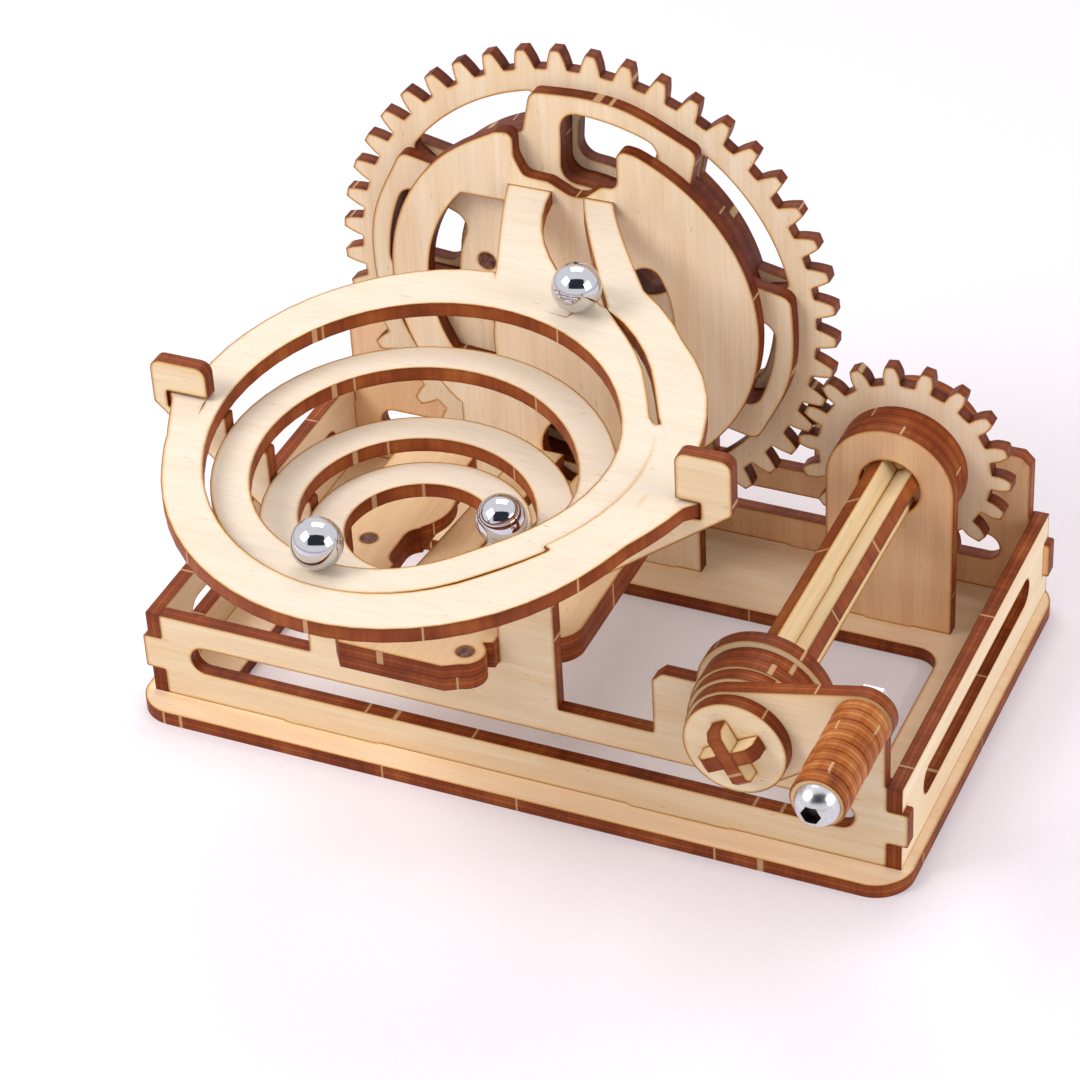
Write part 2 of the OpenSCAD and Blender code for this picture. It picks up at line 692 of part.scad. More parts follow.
// The tongue has a cut corner on the left, and a round lobe about its peg on the right
module tongue_shape() {
    c = 0.12 * tongue_w;
    tongue_y = front_y - tongue_out;
    w = tongue_w / 2 - tab_fit;
    peg = deck_pegs_at[len(deck_pegs_at) - 1];
    neck_w = w - 0.8 * sheet_t;
    polygon([
        [deck_x - w, inner_y0 + over], [deck_x - w, tongue_y + c], [deck_x - w + 0.7 * c, tongue_y],
        [deck_x + w - 1.7 * c, tongue_y], [deck_x + neck_w, tongue_y + 0.6 * c],
        [deck_x + neck_w, front_y - 0.8 * sheet_t], [deck_x + w, front_y - 0.6 * sheet_t],
        [deck_x + w, inner_y0 + over]
    ]);
    translate([deck_x + peg[0], inner_y0 + peg[1]]) circle(w - peg[0]);
}
module deck_shape(upper) {
    fin_r = 0.4 * deck_mouth_w;
    mouth_x0 = deck_x - deck_mouth_w / 2;
    difference() {
        union() {
            tongue_shape();
            round_area(deck_x - deck_w / 2, deck_x + deck_w / 2, inner_y0 + tab_fit, deck_y1, 2 * sheet_t);
        }
        difference() {
            union() {
                round_area(mouth_x0, mouth_x0 + deck_mouth_w, deck_mouth_y,
                    deck_y1 + 4 * sheet_t, (deck_mouth_w - 2 * ramp_w - ramp_gap) / 2);
                round_area(mouth_x0 - 0.7 * sheet_t, deck_x, deck_mouth_y + 1.2 * sheet_t,
                    deck_mouth_y + 5.6 * sheet_t, 1.2 * sheet_t);
            }
            if (upper) translate([mouth_x0 - 0.7 * fin_r, inner_y0 + 0.63 * deck_l]) circle(fin_r);
        }
        for (p = deck_pegs_at) translate([deck_x + p[0], inner_y0 + p[1]]) circle(deck_peg_r);
    }
}

module exit_deck_lower() { color(ply_warm) lying(deck_z) deck_shape(false); }
module exit_deck_upper() { color(ply_warm) lying(deck_z + sheet_t) deck_shape(true); }
module deck_pegs() {
    color(ply_warm) for (p = deck_pegs_at)
        translate([deck_x + p[0], inner_y0 + p[1], deck_z]) cylinder(2 * sheet_t, r = deck_peg_r);
}

// Ramp: two strips that lean from the deck's mouth to the round port of the guide plate
ramp_top_z = deck_z + sheet_t - seat_gap;
ramp_end_z = port_z - seat_gap * 5;
module ramp_strip(x) {
    translate([x, 0, 0]) rotate([quarter, 0, quarter]) linear_extrude(ramp_w) polygon([
        [deck_mouth_y, ramp_top_z - sheet_t], [guide_y, ramp_end_z - sheet_t],
        [guide_y, ramp_end_z], [deck_mouth_y, ramp_top_z]
    ]);
}
module ramp_rail_left() { color(ply) ramp_strip(deck_x - ramp_gap / 2 - ramp_w); }
module ramp_rail_right() { color(ply) ramp_strip(deck_x + ramp_gap / 2); }

// Axle: a dowel from the guide plate to the back wall, with a collar behind the wheel
module at_wheel() { translate([wheel_x, 0, wheel_z]) children(); }
module turned_y(y0, y1, r) {
    translate([0, y1, 0]) rotate([quarter, 0, 0]) cylinder(y1 - y0, r = r);
}
module wheel_axle() { color(ply_warm) at_wheel() turned_y(guide_y, box_y1, axle_r); }
module wheel_collar() {
    collar_r = 2.2 * axle_r;
    color(ply_warm) at_wheel() difference() {
        turned_y(lobe_back_y + sheet_t + face_gap, back_y, collar_r);
        turned_y(lobe_back_y, back_y + over, axle_r + tab_fit / 2);
    }
}

// Wheel: a toothed plate between two plates with four lobes, each lobe with a pocket for a ball
lobes = 4;
lobe_soft_r = 1.2 * sheet_t;
lobe_w = 2 * rim_r * sin(lobe_angle / 2);
lobe_corner_r = 0.8 * sheet_t;
wheel_kidney_angle = 38;
function lobe_mid(i) = lobe_start + i * full_turn / lobes;

module wheel_holes(pocket_trim = 0) {
    circle(axle_r + run_fit);
    for (i = [0 : lobes - 1]) {
        mid = lobe_mid(i);
        translate(on_circle(peg_ring_r, mid)) circle(peg_r);
        soft_sector(pocket_in_r + pocket_trim, pocket_out_r - pocket_trim,
            mid - pocket_angle / 2 + pocket_trim, mid + pocket_angle / 2 - pocket_trim, lobe_soft_r);
        between = mid + full_turn / lobes / 2;
        soft_sector(kidney_r0, kidney_r1, between - wheel_kidney_angle / 2, between + wheel_kidney_angle / 2,
            sheet_t);
    }
}
module lobe_plate(y, pocket_trim) {
    color(ply) translate([wheel_x, 0, wheel_z]) upright(y) difference() {
        union() {
            circle(web_r);
            for (i = [0 : lobes - 1])
                rotate(lobe_mid(i)) offset(lobe_corner_r, $fn = 16) offset(-lobe_corner_r) intersection() {
                    circle(lobe_r);
                    area(web_r / 2, lobe_r + over, -lobe_w / 2, lobe_w / 2);
                }
        }
        wheel_holes(pocket_trim);
    }
}
pocket_lip = 0.8 * sheet_t;
module lobe_plate_front() { lobe_plate(lobe_front_y, 0); }
module lobe_plate_back() { lobe_plate(lobe_back_y, pocket_lip); }
module gear_ring() {
    gap_angle = full_turn / lobes - lobe_angle;
    color(ply) translate([wheel_x, 0, wheel_z]) upright(gear_y) difference() {
        polygon(gear_outline(wheel_teeth, mesh_angle + full_turn / wheel_teeth / 2));
        for (i = [0 : lobes - 1])
            soft_sector(web_r, rim_r, lobe_mid(i) + lobe_angle / 2, lobe_mid(i) + lobe_angle / 2 + gap_angle,
                0.5 * sheet_t);
        wheel_holes();
    }
}
module wheel_pegs() {
    color(ply_warm) at_wheel() for (i = [0 : lobes - 1])
        rotate([0, -lobe_mid(i), 0]) translate([peg_ring_r, 0, 0])
            turned_y(lobe_front_y, lobe_back_y + sheet_t, peg_r);
}

// Shaft: two strips, each slotted half its length, pushed into one another as a cross
shaft_mid_y = (shaft_y0 + shaft_y1) / 2;
module at_shaft() { translate([shaft_x, 0, shaft_z]) children(); }
module shaft_strip(slot_y0, slot_y1) {
    bevel = 0.1 * strip_w;
    slot_w = sheet_t + 2 * tab_fit;
    translate([0, 0, -sheet_t / 2]) linear_extrude(sheet_t) difference() {
        polygon([
            [-strip_w / 2, shaft_y0 + bevel], [bevel - strip_w / 2, shaft_y0],
            [strip_w / 2 - bevel, shaft_y0], [strip_w / 2, shaft_y0 + bevel],
            [strip_w / 2, shaft_y1], [-strip_w / 2, shaft_y1]
        ]);
        area(-slot_w / 2, slot_w / 2, slot_y0, slot_y1);
    }
}
module shaft_strip_a() {
    color(ply) at_shaft() rotate([0, -strip_angle, 0])
        shaft_strip(shaft_y0 - over, shaft_mid_y + tab_fit);
}
module shaft_strip_b() {
    color(ply) at_shaft() rotate([0, -strip_angle - quarter, 0])
        shaft_strip(shaft_mid_y - tab_fit, shaft_y1 + over);
}
// The cross-shaped hole that the shaft drives
module cross_hole() {
    rotate(strip_angle) for (turned = [0, quarter]) rotate(turned)
        square([strip_w + 2 * tab_fit, sheet_t + 2 * tab_fit], center = true);
}
module shaft_disc(y, r) {
    at_shaft() upright(y) difference() {
        circle(r);
        cross_hole();
    }
}
module pinion() {
    color(ply) at_shaft() upright(gear_y) difference() {
        polygon(gear_outline(pinion_teeth, mesh_angle + 2 * quarter));
        cross_hole();
    }
}
module pinion_spacer_1() { color(ply_warm) shaft_disc(lobe_front_y, arch_r); }
module pinion_spacer_2() { color(ply_warm) shaft_disc(lobe_front_y - sheet_t, arch_r); }
module rear_spacer() { color(ply_warm) shaft_disc(lobe_back_y, hub_small_r); }
module hub_disc_1() { color(ply) shaft_disc(hub_1_y, hub_r); }
module hub_disc_2() { color(ply) shaft_disc(hub_2_y, hub_r); }
module hub_disc_3() { color(ply) shaft_disc(hub_3_y, hub_small_r); }
module crank_cap() { color(ply) shaft_disc(cap_y, cap_r); }
module crank_arm() {
    grip_at = on_circle(crank_l, crank_angle);
    color(ply) at_shaft() upright(arm_y) difference() {
        hull() {
            circle(arm_hub_r);
            translate(grip_at) circle(arm_tip_r);
        }
        cross_hole();
        translate(grip_at) circle(bolt_r + tab_fit);
    }
}

// Grip: rings that turn on a bolt with a domed head, held by a nut behind the arm
module at_grip() { translate([grip_x, 0, grip_z]) children(); }
module grip_bolt() {
    socket_r = 0.45 * bolt_head_r;
    color(steel) at_grip() difference() {
        union() {
            turned_y(bolt_face_y, arm_y + sheet_t + nut_t, bolt_r);
            translate([0, bolt_face_y, 0]) rotate([quarter, 0, 0]) rotate_extrude()
                intersection() {
                    translate([0, bolt_head_h - bolt_head_r]) circle(bolt_head_r);
                    area(0, bolt_head_r, 0, bolt_head_h);
                }
        }
        translate([0, bolt_face_y - bolt_head_h / 2, 0]) rotate([quarter, 0, 0])
            cylinder(bolt_head_h, r = socket_r, $fn = 6);
    }
}
module grip_nut() {
    color(steel) at_grip() upright(arm_y + sheet_t, nut_t) difference() {
        circle(nut_across / 2 / cos(30), $fn = 6);
        circle(bolt_r + tab_fit / 2);
    }
}
module grip_ring(i) {
    color(i % 2 == 0 ? ply : ply_warm) at_grip() upright(grip_y1 - i * sheet_t) difference() {
        circle(grip_r);
        circle(bolt_r + run_fit);
    }
}
module grip_ring_1() { grip_ring(1); }
module grip_ring_2() { grip_ring(2); }
module grip_ring_3() { grip_ring(3); }
module grip_ring_4() { grip_ring(4); }
module grip_ring_5() { grip_ring(5); }
module grip_ring_6() { grip_ring(6); }
module grip_ring_7() { grip_ring(7); }
module grip_ring_8() { grip_ring(8); }

// Balls: one waits between the rails, one runs on the rim and one on an inner turn
rest_gap = seat_gap;
module ball(place) { color(steel) translate(place) sphere(d = ball_d); }
rail_ball_a = 19;
turn_ball_a = full_turn + 187;
ring_ball_a = 86;
function ball_over(p, z) = concat(p, z + ball_d / 2 + rest_gap);
module ball_on_rails() {
    r = ring_in_r + 0.9 * turn_step;
    ball(ball_over(funnel_point(r, rail_ball_a), band_z(rail_ball_a)));
}
module ball_on_turn() {
    r = band_r(turn_ball_a) - 0.23 * turn_step;
    ball(ball_over(funnel_point(r, turn_ball_a), band_z(turn_ball_a)));
}
module ball_on_inner_ring() { ball(ball_over(funnel_point(lean_in_r - 0.1 * turn_step, ring_ball_a), hole_z)); }

base_plate();
front_cradle();
back_wall();
left_wall();
right_wall();
pinion_post();
wheel_guide();
funnel_track();
exit_deck_upper();
exit_deck_lower();
ramp_rail_left();
ramp_rail_right();
deck_pegs();
wheel_axle();
wheel_collar();
lobe_plate_front();
gear_ring();
lobe_plate_back();
wheel_pegs();
shaft_strip_a();
shaft_strip_b();
pinion();
pinion_spacer_1();
pinion_spacer_2();
rear_spacer();
hub_disc_1();
hub_disc_2();
hub_disc_3();
crank_arm();
crank_cap();
grip_bolt();
grip_nut();
grip_ring_1();
grip_ring_2();
grip_ring_3();
grip_ring_4();
grip_ring_5();
grip_ring_6();
grip_ring_7();
grip_ring_8();
ball_on_rails();
ball_on_turn();
ball_on_inner_ring();
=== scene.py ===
# %% [markdown]
# # A hand-cranked marble run in laser-cut birch plywood
# The toy is a kit of 3 mm plywood parts. A crank turns a small gear, the small gear turns a big
# toothed wheel, and the wheel lifts steel balls to two rails that feed a spiral funnel. The exact
# parts come from a CAD model that is already built. This lesson dresses them: it sets up the
# camera, the light and the floor, makes one material for each real finish, and models the few
# parts that deserve a smoother or finer mesh than the CAD gives.

# %% Load the frame
import math
import random

import bmesh
import bpy
from mathutils import Matrix, Vector


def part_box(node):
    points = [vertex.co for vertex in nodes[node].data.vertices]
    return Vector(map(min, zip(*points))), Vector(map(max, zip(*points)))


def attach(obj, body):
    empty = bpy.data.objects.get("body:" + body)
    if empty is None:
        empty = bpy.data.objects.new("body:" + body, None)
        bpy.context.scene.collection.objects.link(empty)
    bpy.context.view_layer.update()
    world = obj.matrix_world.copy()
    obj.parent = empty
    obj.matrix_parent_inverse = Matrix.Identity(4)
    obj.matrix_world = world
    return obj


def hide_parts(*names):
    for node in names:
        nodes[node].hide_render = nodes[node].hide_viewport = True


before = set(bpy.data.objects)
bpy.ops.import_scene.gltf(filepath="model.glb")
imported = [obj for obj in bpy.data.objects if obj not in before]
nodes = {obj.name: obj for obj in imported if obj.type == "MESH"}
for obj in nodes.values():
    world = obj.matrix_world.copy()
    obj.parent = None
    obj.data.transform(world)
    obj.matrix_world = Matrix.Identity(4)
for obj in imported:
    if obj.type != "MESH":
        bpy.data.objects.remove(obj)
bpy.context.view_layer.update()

# %% [markdown]
# Blender works in metres, and a kit like this is thought of in millimetres. One small function
# turns a length in millimetres to metres, so that every number below is one that a ruler shows.

# %% Millimetres to metres
def mm(value):
    return value / 1000


print("one sheet is", mm(3.0), "m thick")

# %% [markdown]
# ## Colour
# A colour picker gives sRGB values, and shaders add and multiply light in linear values. One
# function does the conversion, so each colour can stay the hex value that was matched.

# %% Hex colour to linear light
def linear(hex_colour):
    channels = []
    for start in (0, 2, 4):
        c = int(hex_colour[start:start + 2], 16) / 255
        channels.append(c / 12.92 if c <= 0.04045 else ((c + 0.055) / 1.055) ** 2.4)
    return (*channels, 1.0)


print("pale birch in linear light:", [round(c, 3) for c in linear("EBD5B0")])

# %% [markdown]
# ## One helper for every node
# A material is a small network. Each node has settings (its own menus), values (numbers typed in
# its sockets) and links (wires from other nodes). One function takes all three, whatever the kind
# of node, so the materials below read like a list of what is wired to what.

# %% Add a node
def add_node(tree, kind, settings=None, values=None, links=None):
    node = tree.nodes.new(kind)
    for name, value in (settings or {}).items():
        setattr(node, name, value)
    for socket, value in (values or {}).items():
        node.inputs[socket].default_value = value
    for socket, source in (links or {}).items():
        tree.links.new(source, node.inputs[socket])
    return node


def new_material(name):
    material = bpy.data.materials.new(name)
    material.use_nodes = True
    material.node_tree.nodes.clear()
    return material


print("helpers ready: add_node, new_material")

# %% [markdown]
# ## Camera
# The photograph looks down on the toy from the crank's side: about 25 degrees round to the right
# and 36 degrees up, from three quarters of a metre away, through a long lens, and it is tilted a
# little. The camera could be dragged into place by hand. Working from the angles is repeatable,
# and it keeps the picture's perspective exactly.

# %% Camera
azimuth, elevation, roll = math.radians(25.36), math.radians(36.35), math.radians(-3.35)
target = Vector((mm(-13.55), mm(22.84), mm(25.34)))
distance = mm(742.2)

back = Vector((math.sin(azimuth) * math.cos(elevation),
               -math.cos(azimuth) * math.cos(elevation), math.sin(elevation)))
level_right = Vector((math.cos(azimuth), math.sin(azimuth), 0))
level_up = back.cross(level_right)
right = level_right * math.cos(roll) + level_up * math.sin(roll)
up = back.cross(right)

camera_data = bpy.data.cameras.new("photo_camera")
camera_data.sensor_width = 36
camera_data.lens = 120.1
camera_data.clip_start, camera_data.clip_end = 0.01, 20
camera = bpy.data.objects.new("photo_camera", camera_data)
pose = Matrix((right, up, back)).transposed().to_4x4()
pose.translation = target + back * distance
camera.matrix_world = pose
bpy.context.scene.collection.objects.link(camera)
bpy.context.scene.camera = camera
print("camera at", [round(c, 3) for c in pose.translation])

# %% [markdown]
# ## Light
# The toy was lit as small products usually are: a big soft lamp high on the left, close enough
# that the left of the gear is clearly brighter than the right, a weaker one on the right that
# opens the shade, and a white room. Area lamps give soft shadows because they have a size. A sun
# lamp would be quicker, but its light is equally strong everywhere and its shadows are hard.

# %% Lamps
def soft_lamp(name, place, size, power, tint):
    data = bpy.data.lights.new(name, "AREA")
    data.shape = "RECTANGLE"
    data.size, data.size_y = size
    data.energy = power
    data.color = linear(tint)[:3]
    lamp = bpy.data.objects.new(name, data)
    lamp.location = place
    aim = Vector((0, mm(10), mm(50))) - Vector(place)
    lamp.rotation_euler = aim.to_track_quat("-Z", "Y").to_euler()
    bpy.context.scene.collection.objects.link(lamp)
    return lamp


key = soft_lamp("key_softbox", (-0.46, -0.36, 0.60), (0.40, 0.40), 4.1, "FFF9F4")
side = soft_lamp("side_softbox", (0.85, -0.10, 0.45), (0.50, 0.50), 3.2, "FFFAF5")
top = soft_lamp("top_softbox", (-0.15, 0.48, 0.85), (0.60, 0.40), 2.7, "FFFCF8")
print("lamps:", [lamp.name for lamp in (key, side, top)])

# %% [markdown]
# The room itself is the world. Camera, glossy and transmission rays see it white, so the backdrop
# is white and the steel balls mirror it, while the light that it really sheds on the toy is set
# apart and stays at a plain level.

# %% White room
def seen_by_eye(tree):
    """1 for a ray from the camera, a mirror or glass, and 0 for a ray that only carries light."""
    ray = add_node(tree, "ShaderNodeLightPath")
    seen = add_node(tree, "ShaderNodeMath", {"operation": "MAXIMUM"}, links={
        0: ray.outputs["Is Camera Ray"], 1: ray.outputs["Is Glossy Ray"]})
    return add_node(tree, "ShaderNodeMath", {"operation": "MAXIMUM"}, links={
        0: seen.outputs[0], 1: ray.outputs["Is Transmission Ray"]})


world = bpy.data.worlds.new("white_room")
bpy.context.scene.world = world
world.use_nodes = True
world.node_tree.nodes.clear()
room_light = add_node(world.node_tree, "ShaderNodeBackground",
                      values={"Color": linear("F4F2F8"), "Strength": 0.54})
room_seen = add_node(world.node_tree, "ShaderNodeBackground",
                     values={"Color": (1, 1, 1, 1), "Strength": 1.0})
room = add_node(world.node_tree, "ShaderNodeMixShader", links={
    0: seen_by_eye(world.node_tree).outputs[0], 1: room_light.outputs[0],
    2: room_seen.outputs[0]})
add_node(world.node_tree, "ShaderNodeOutputWorld", links={"Surface": room.outputs[0]})
bpy.context.scene.view_settings.view_transform = "Standard"
print("world:", world.name)

# %% [markdown]
# ## Floor
# The toy stands on a sheet of pale paper that runs out to white, with a soft lilac shadow under
# it. The paper is a plain matt surface. What the camera sees of it is that surface at part
# strength with a white glow added, so the lit paper meets white and the shadow stays visible.

# %% Paper floor
paper = new_material("matt_white_paper")
tree = paper.node_tree
place = add_node(tree, "ShaderNodeTexCoord")
fibres = add_node(tree, "ShaderNodeTexNoise", values={"Scale": 900.0, "Detail": 3.0},
                  links={"Vector": place.outputs["Object"]})
tone = add_node(tree, "ShaderNodeMix", {"data_type": "RGBA"}, {
    6: linear("EBE6EE"), 7: linear("F2EEF5")}, {0: fibres.outputs["Fac"]})
matt = add_node(tree, "ShaderNodeBsdfDiffuse", links={"Color": tone.outputs[2]})
matt_seen = add_node(tree, "ShaderNodeMix", {"data_type": "RGBA", "blend_type": "MULTIPLY"},
                     {0: 1.0, 7: (0.98, 0.98, 0.98, 1)}, {6: tone.outputs[2]})
matt_part = add_node(tree, "ShaderNodeBsdfDiffuse", links={"Color": matt_seen.outputs[2]})
glow = add_node(tree, "ShaderNodeEmission", values={"Color": (1, 1, 1, 1), "Strength": 0.10})
lit_white = add_node(tree, "ShaderNodeAddShader", links={0: matt_part.outputs[0],
                                                        1: glow.outputs[0]})
paper_mix = add_node(tree, "ShaderNodeMixShader", links={
    0: seen_by_eye(tree).outputs[0], 1: matt.outputs[0], 2: lit_white.outputs[0]})
add_node(tree, "ShaderNodeOutputMaterial", links={"Surface": paper_mix.outputs[0]})

half_side = 4.0
floor_mesh = bmesh.new()
bmesh.ops.create_grid(floor_mesh, x_segments=4, y_segments=4, size=half_side)
floor_data = bpy.data.meshes.new("paper_floor")
floor_mesh.to_mesh(floor_data)
floor_mesh.free()
floor = bpy.data.objects.new("paper_floor", floor_data)
floor.location = (0, 0, -mm(0.05))
floor_data.materials.append(paper)
bpy.context.scene.collection.objects.link(floor)
print("floor:", floor.name, 2 * half_side, "m square")

# %% [markdown]
# Polished steel shows whatever stands around it. In the studio a dark wall and the camera stood
# in front of the toy, and they are the dark patch in the middle of each ball. A dark card behind
# the camera does the same here. Only mirror-like reflections see it, so it throws no shadow.

# %% Dark card for reflections
card_finish = new_material("black_flock_card")
tree = card_finish.node_tree
place = add_node(tree, "ShaderNodeTexCoord")
flock = add_node(tree, "ShaderNodeTexNoise", values={"Scale": 6.0, "Detail": 2.0},
                 links={"Vector": place.outputs["Object"]})
flock_tone = add_node(tree, "ShaderNodeMix", {"data_type": "RGBA"}, {
    6: linear("1E1E26"), 7: linear("4A4A55")}, {0: flock.outputs["Fac"]})
flock_seen = add_node(tree, "ShaderNodeEmission", values={"Strength": 1.0},
                      links={"Color": flock_tone.outputs[2]})
add_node(tree, "ShaderNodeOutputMaterial", links={"Surface": flock_seen.outputs[0]})

card_mesh = bmesh.new()
bmesh.ops.create_grid(card_mesh, x_segments=1, y_segments=1, size=0.5)
card_data = bpy.data.meshes.new("dark_card")
card_mesh.to_mesh(card_data)
card_mesh.free()
card_data.materials.append(card_finish)
card = bpy.data.objects.new("dark_card", card_data)
# in metres: how far the card stands from the toy and above the line of sight, and its size
card_back, card_up, card_wide, card_high = 0.95, 0.25, 1.3, 0.8
card_pose = pose.copy()
card_pose.translation = target + back * card_back + level_up * card_up
card.matrix_world = card_pose @ Matrix.Diagonal((card_wide, card_high, 1, 1))
for seen_by in ("visible_camera", "visible_diffuse", "visible_shadow",
                "visible_transmission", "visible_volume_scatter"):
    setattr(card, seen_by, False)
bpy.context.scene.collection.objects.link(card)
print("card:", card.name)

# %% [markdown]
# ## Birch plywood, cut by laser
# The sheet is 3 mm birch plywood: three veneers, pale cream on the face, with fine straight
# fibres, a faint broad figure and a few small brown flecks. The laser leaves three marks. The cut
# edge is charred dark red-brown with fine stripes across its thickness and the glue lines
# between the veneers. A narrow amber line of scorch runs beside each cut on the face. And where a
# part was snapped from its sheet, a small tab is left uncharred and pale.
#
# All of it could be painted on an unwrapped image. Working from the shape is better here: the
# direction that a surface faces tells a veneer face from a cut edge, the Bevel node tells how
# near a corner is, and every pattern is measured in millimetres of the part's own space, so it
# stays with a part when it turns.

# %% Bare veneer
def along_fibres(tree, where, along, length, width, **noise):
    """Noise in spots about length mm long in the direction of the fibres and width mm wide."""
    pitch = [1 / mm(length) if a else 1 / mm(width) for a in along]
    grid = add_node(tree, "ShaderNodeVectorMath", {"operation": "MULTIPLY"}, {1: pitch},
                    {0: where})
    return add_node(tree, "ShaderNodeTexNoise", values={"Scale": 1.0, **noise},
                    links={"Vector": grid.outputs[0]})


def veneer_colour(tree, where, along, pale, deep):
    """The colour of a bare face, and the fibres for its relief."""
    # figure: soft bands 5 mm wide and 60 mm long, a little wavy
    figure = along_fibres(tree, where, along, 60.0, 5.0, Detail=3.0, Roughness=0.55,
                          Distortion=0.5)
    figure_step = add_node(tree, "ShaderNodeMapRange",
                           values={"From Min": 0.35, "From Max": 0.68},
                           links={"Value": figure.outputs["Fac"]})
    veneer = add_node(tree, "ShaderNodeMix", {"data_type": "RGBA"},
                      {6: linear(pale), 7: linear(deep)}, {0: figure_step.outputs[0]})
    # fibres: streaks 0.5 mm wide and 14 mm long. Real ones are 0.1 mm, too fine to show
    fibre = along_fibres(tree, where, along, 14.0, 0.5, Detail=2.0, Roughness=0.6)
    fibre_step = add_node(tree, "ShaderNodeMapRange",
                          values={"From Min": 0.42, "From Max": 0.75, "To Max": 0.22},
                          links={"Value": fibre.outputs["Fac"]})
    veneer = add_node(tree, "ShaderNodeMix", {"data_type": "RGBA", "blend_type": "MULTIPLY"},
                      {7: linear("DEC4A2")}, {0: fibre_step.outputs[0], 6: veneer.outputs[2]})
    # flecks: small brown marks about 0.6 by 3 mm
    fleck = along_fibres(tree, where, along, 3.0, 0.6, Detail=1.0)
    fleck_step = add_node(tree, "ShaderNodeMapRange",
                          values={"From Min": 0.72, "From Max": 0.82, "To Max": 0.45},
                          links={"Value": fleck.outputs["Fac"]})
    veneer = add_node(tree, "ShaderNodeMix", {"data_type": "RGBA"},
                      {7: linear("A9794C")}, {0: fleck_step.outputs[0], 6: veneer.outputs[2]})
    return veneer.outputs[2], fibre.outputs["Fac"]


print("bare veneer ready: figure, fibres and flecks")

# %% Scorch beside a cut
def near_a_corner(tree):
    """0 on a flat stretch, rising to 1 at a corner. Within 1.6 mm of a corner the rounded normal
    leaves the flat one."""
    corner = add_node(tree, "ShaderNodeBevel", {"samples": 8}, {"Radius": mm(1.6)})
    flat = add_node(tree, "ShaderNodeNewGeometry")
    bend = add_node(tree, "ShaderNodeVectorMath", {"operation": "DOT_PRODUCT"},
                    links={0: corner.outputs[0], 1: flat.outputs["True Normal"]})
    near = add_node(tree, "ShaderNodeMapRange", values={"From Min": 0.99, "From Max": 0.74},
                    links={"Value": bend.outputs["Value"]})
    return near.outputs[0]


def scorched(tree, colour, near):
    """The colour of a face, turned amber and then brown towards a cut."""
    scorch = add_node(tree, "ShaderNodeValToRGB", links={"Fac": near})
    ramp = scorch.color_ramp
    ramp.elements[0].position, ramp.elements[0].color = 0.0, (1, 1, 1, 1)
    ramp.elements[1].position, ramp.elements[1].color = 1.0, linear("6B3416")
    for position, tone in ((0.16, "FCEFCF"), (0.42, "F2D499"), (0.70, "DCA45E"), (0.86, "A9682F")):
        stop = ramp.elements.new(position)
        stop.color = linear(tone)
    face = add_node(tree, "ShaderNodeMix", {"data_type": "RGBA", "blend_type": "MULTIPLY"},
                    {0: 1.0}, {6: colour, 7: scorch.outputs["Color"]})
    return face.outputs[2]


print("scorch ready: it starts 1.6 mm from a cut")

# %% Charred edge
def place_in_sheet(tree, where, across):
    """A cut runs straight through the sheet, so its marks depend on the place in the sheet's
    plane. Each part reads a slice of the pattern that is its own."""
    through = add_node(tree, "ShaderNodeVectorMath", {"operation": "PROJECT"}, {1: across},
                       {0: where})
    in_plane = add_node(tree, "ShaderNodeVectorMath", {"operation": "SUBTRACT"},
                        links={0: where, 1: through.outputs[0]})
    piece_info = add_node(tree, "ShaderNodeObjectInfo")
    shift = add_node(tree, "ShaderNodeVectorMath", {"operation": "SCALE"}, {0: across},
                     {"Scale": piece_info.outputs["Random"]})
    slice_of_own = add_node(tree, "ShaderNodeVectorMath", {"operation": "ADD"}, links={
        0: in_plane.outputs[0], 1: shift.outputs[0]})
    return slice_of_own.outputs[0]


def with_glue_lines(tree, colour, depth):
    """The three veneers of a cut edge, with glue lines at one and two thirds of the depth."""
    veneers = add_node(tree, "ShaderNodeValToRGB", links={"Fac": depth})
    ramp = veneers.color_ramp
    ramp.elements[0].position, ramp.elements[0].color = 0.0, linear("B08C70")
    ramp.elements[1].position, ramp.elements[1].color = 1.0, linear("B08C70")
    for position, tone in ((0.08, "EEDFD0"), (0.28, "EEDFD0"), (0.335, "BC9C80"),
                           (0.39, "FFFFFF"), (0.61, "FFFFFF"), (0.665, "BC9C80"),
                           (0.72, "EEDFD0"), (0.92, "EEDFD0")):
        stop = ramp.elements.new(position)
        stop.color = linear(tone)
    layers = add_node(tree, "ShaderNodeMix", {"data_type": "RGBA", "blend_type": "MULTIPLY"},
                      {0: 1.0}, {6: colour, 7: veneers.outputs["Color"]})
    return layers.outputs[2]


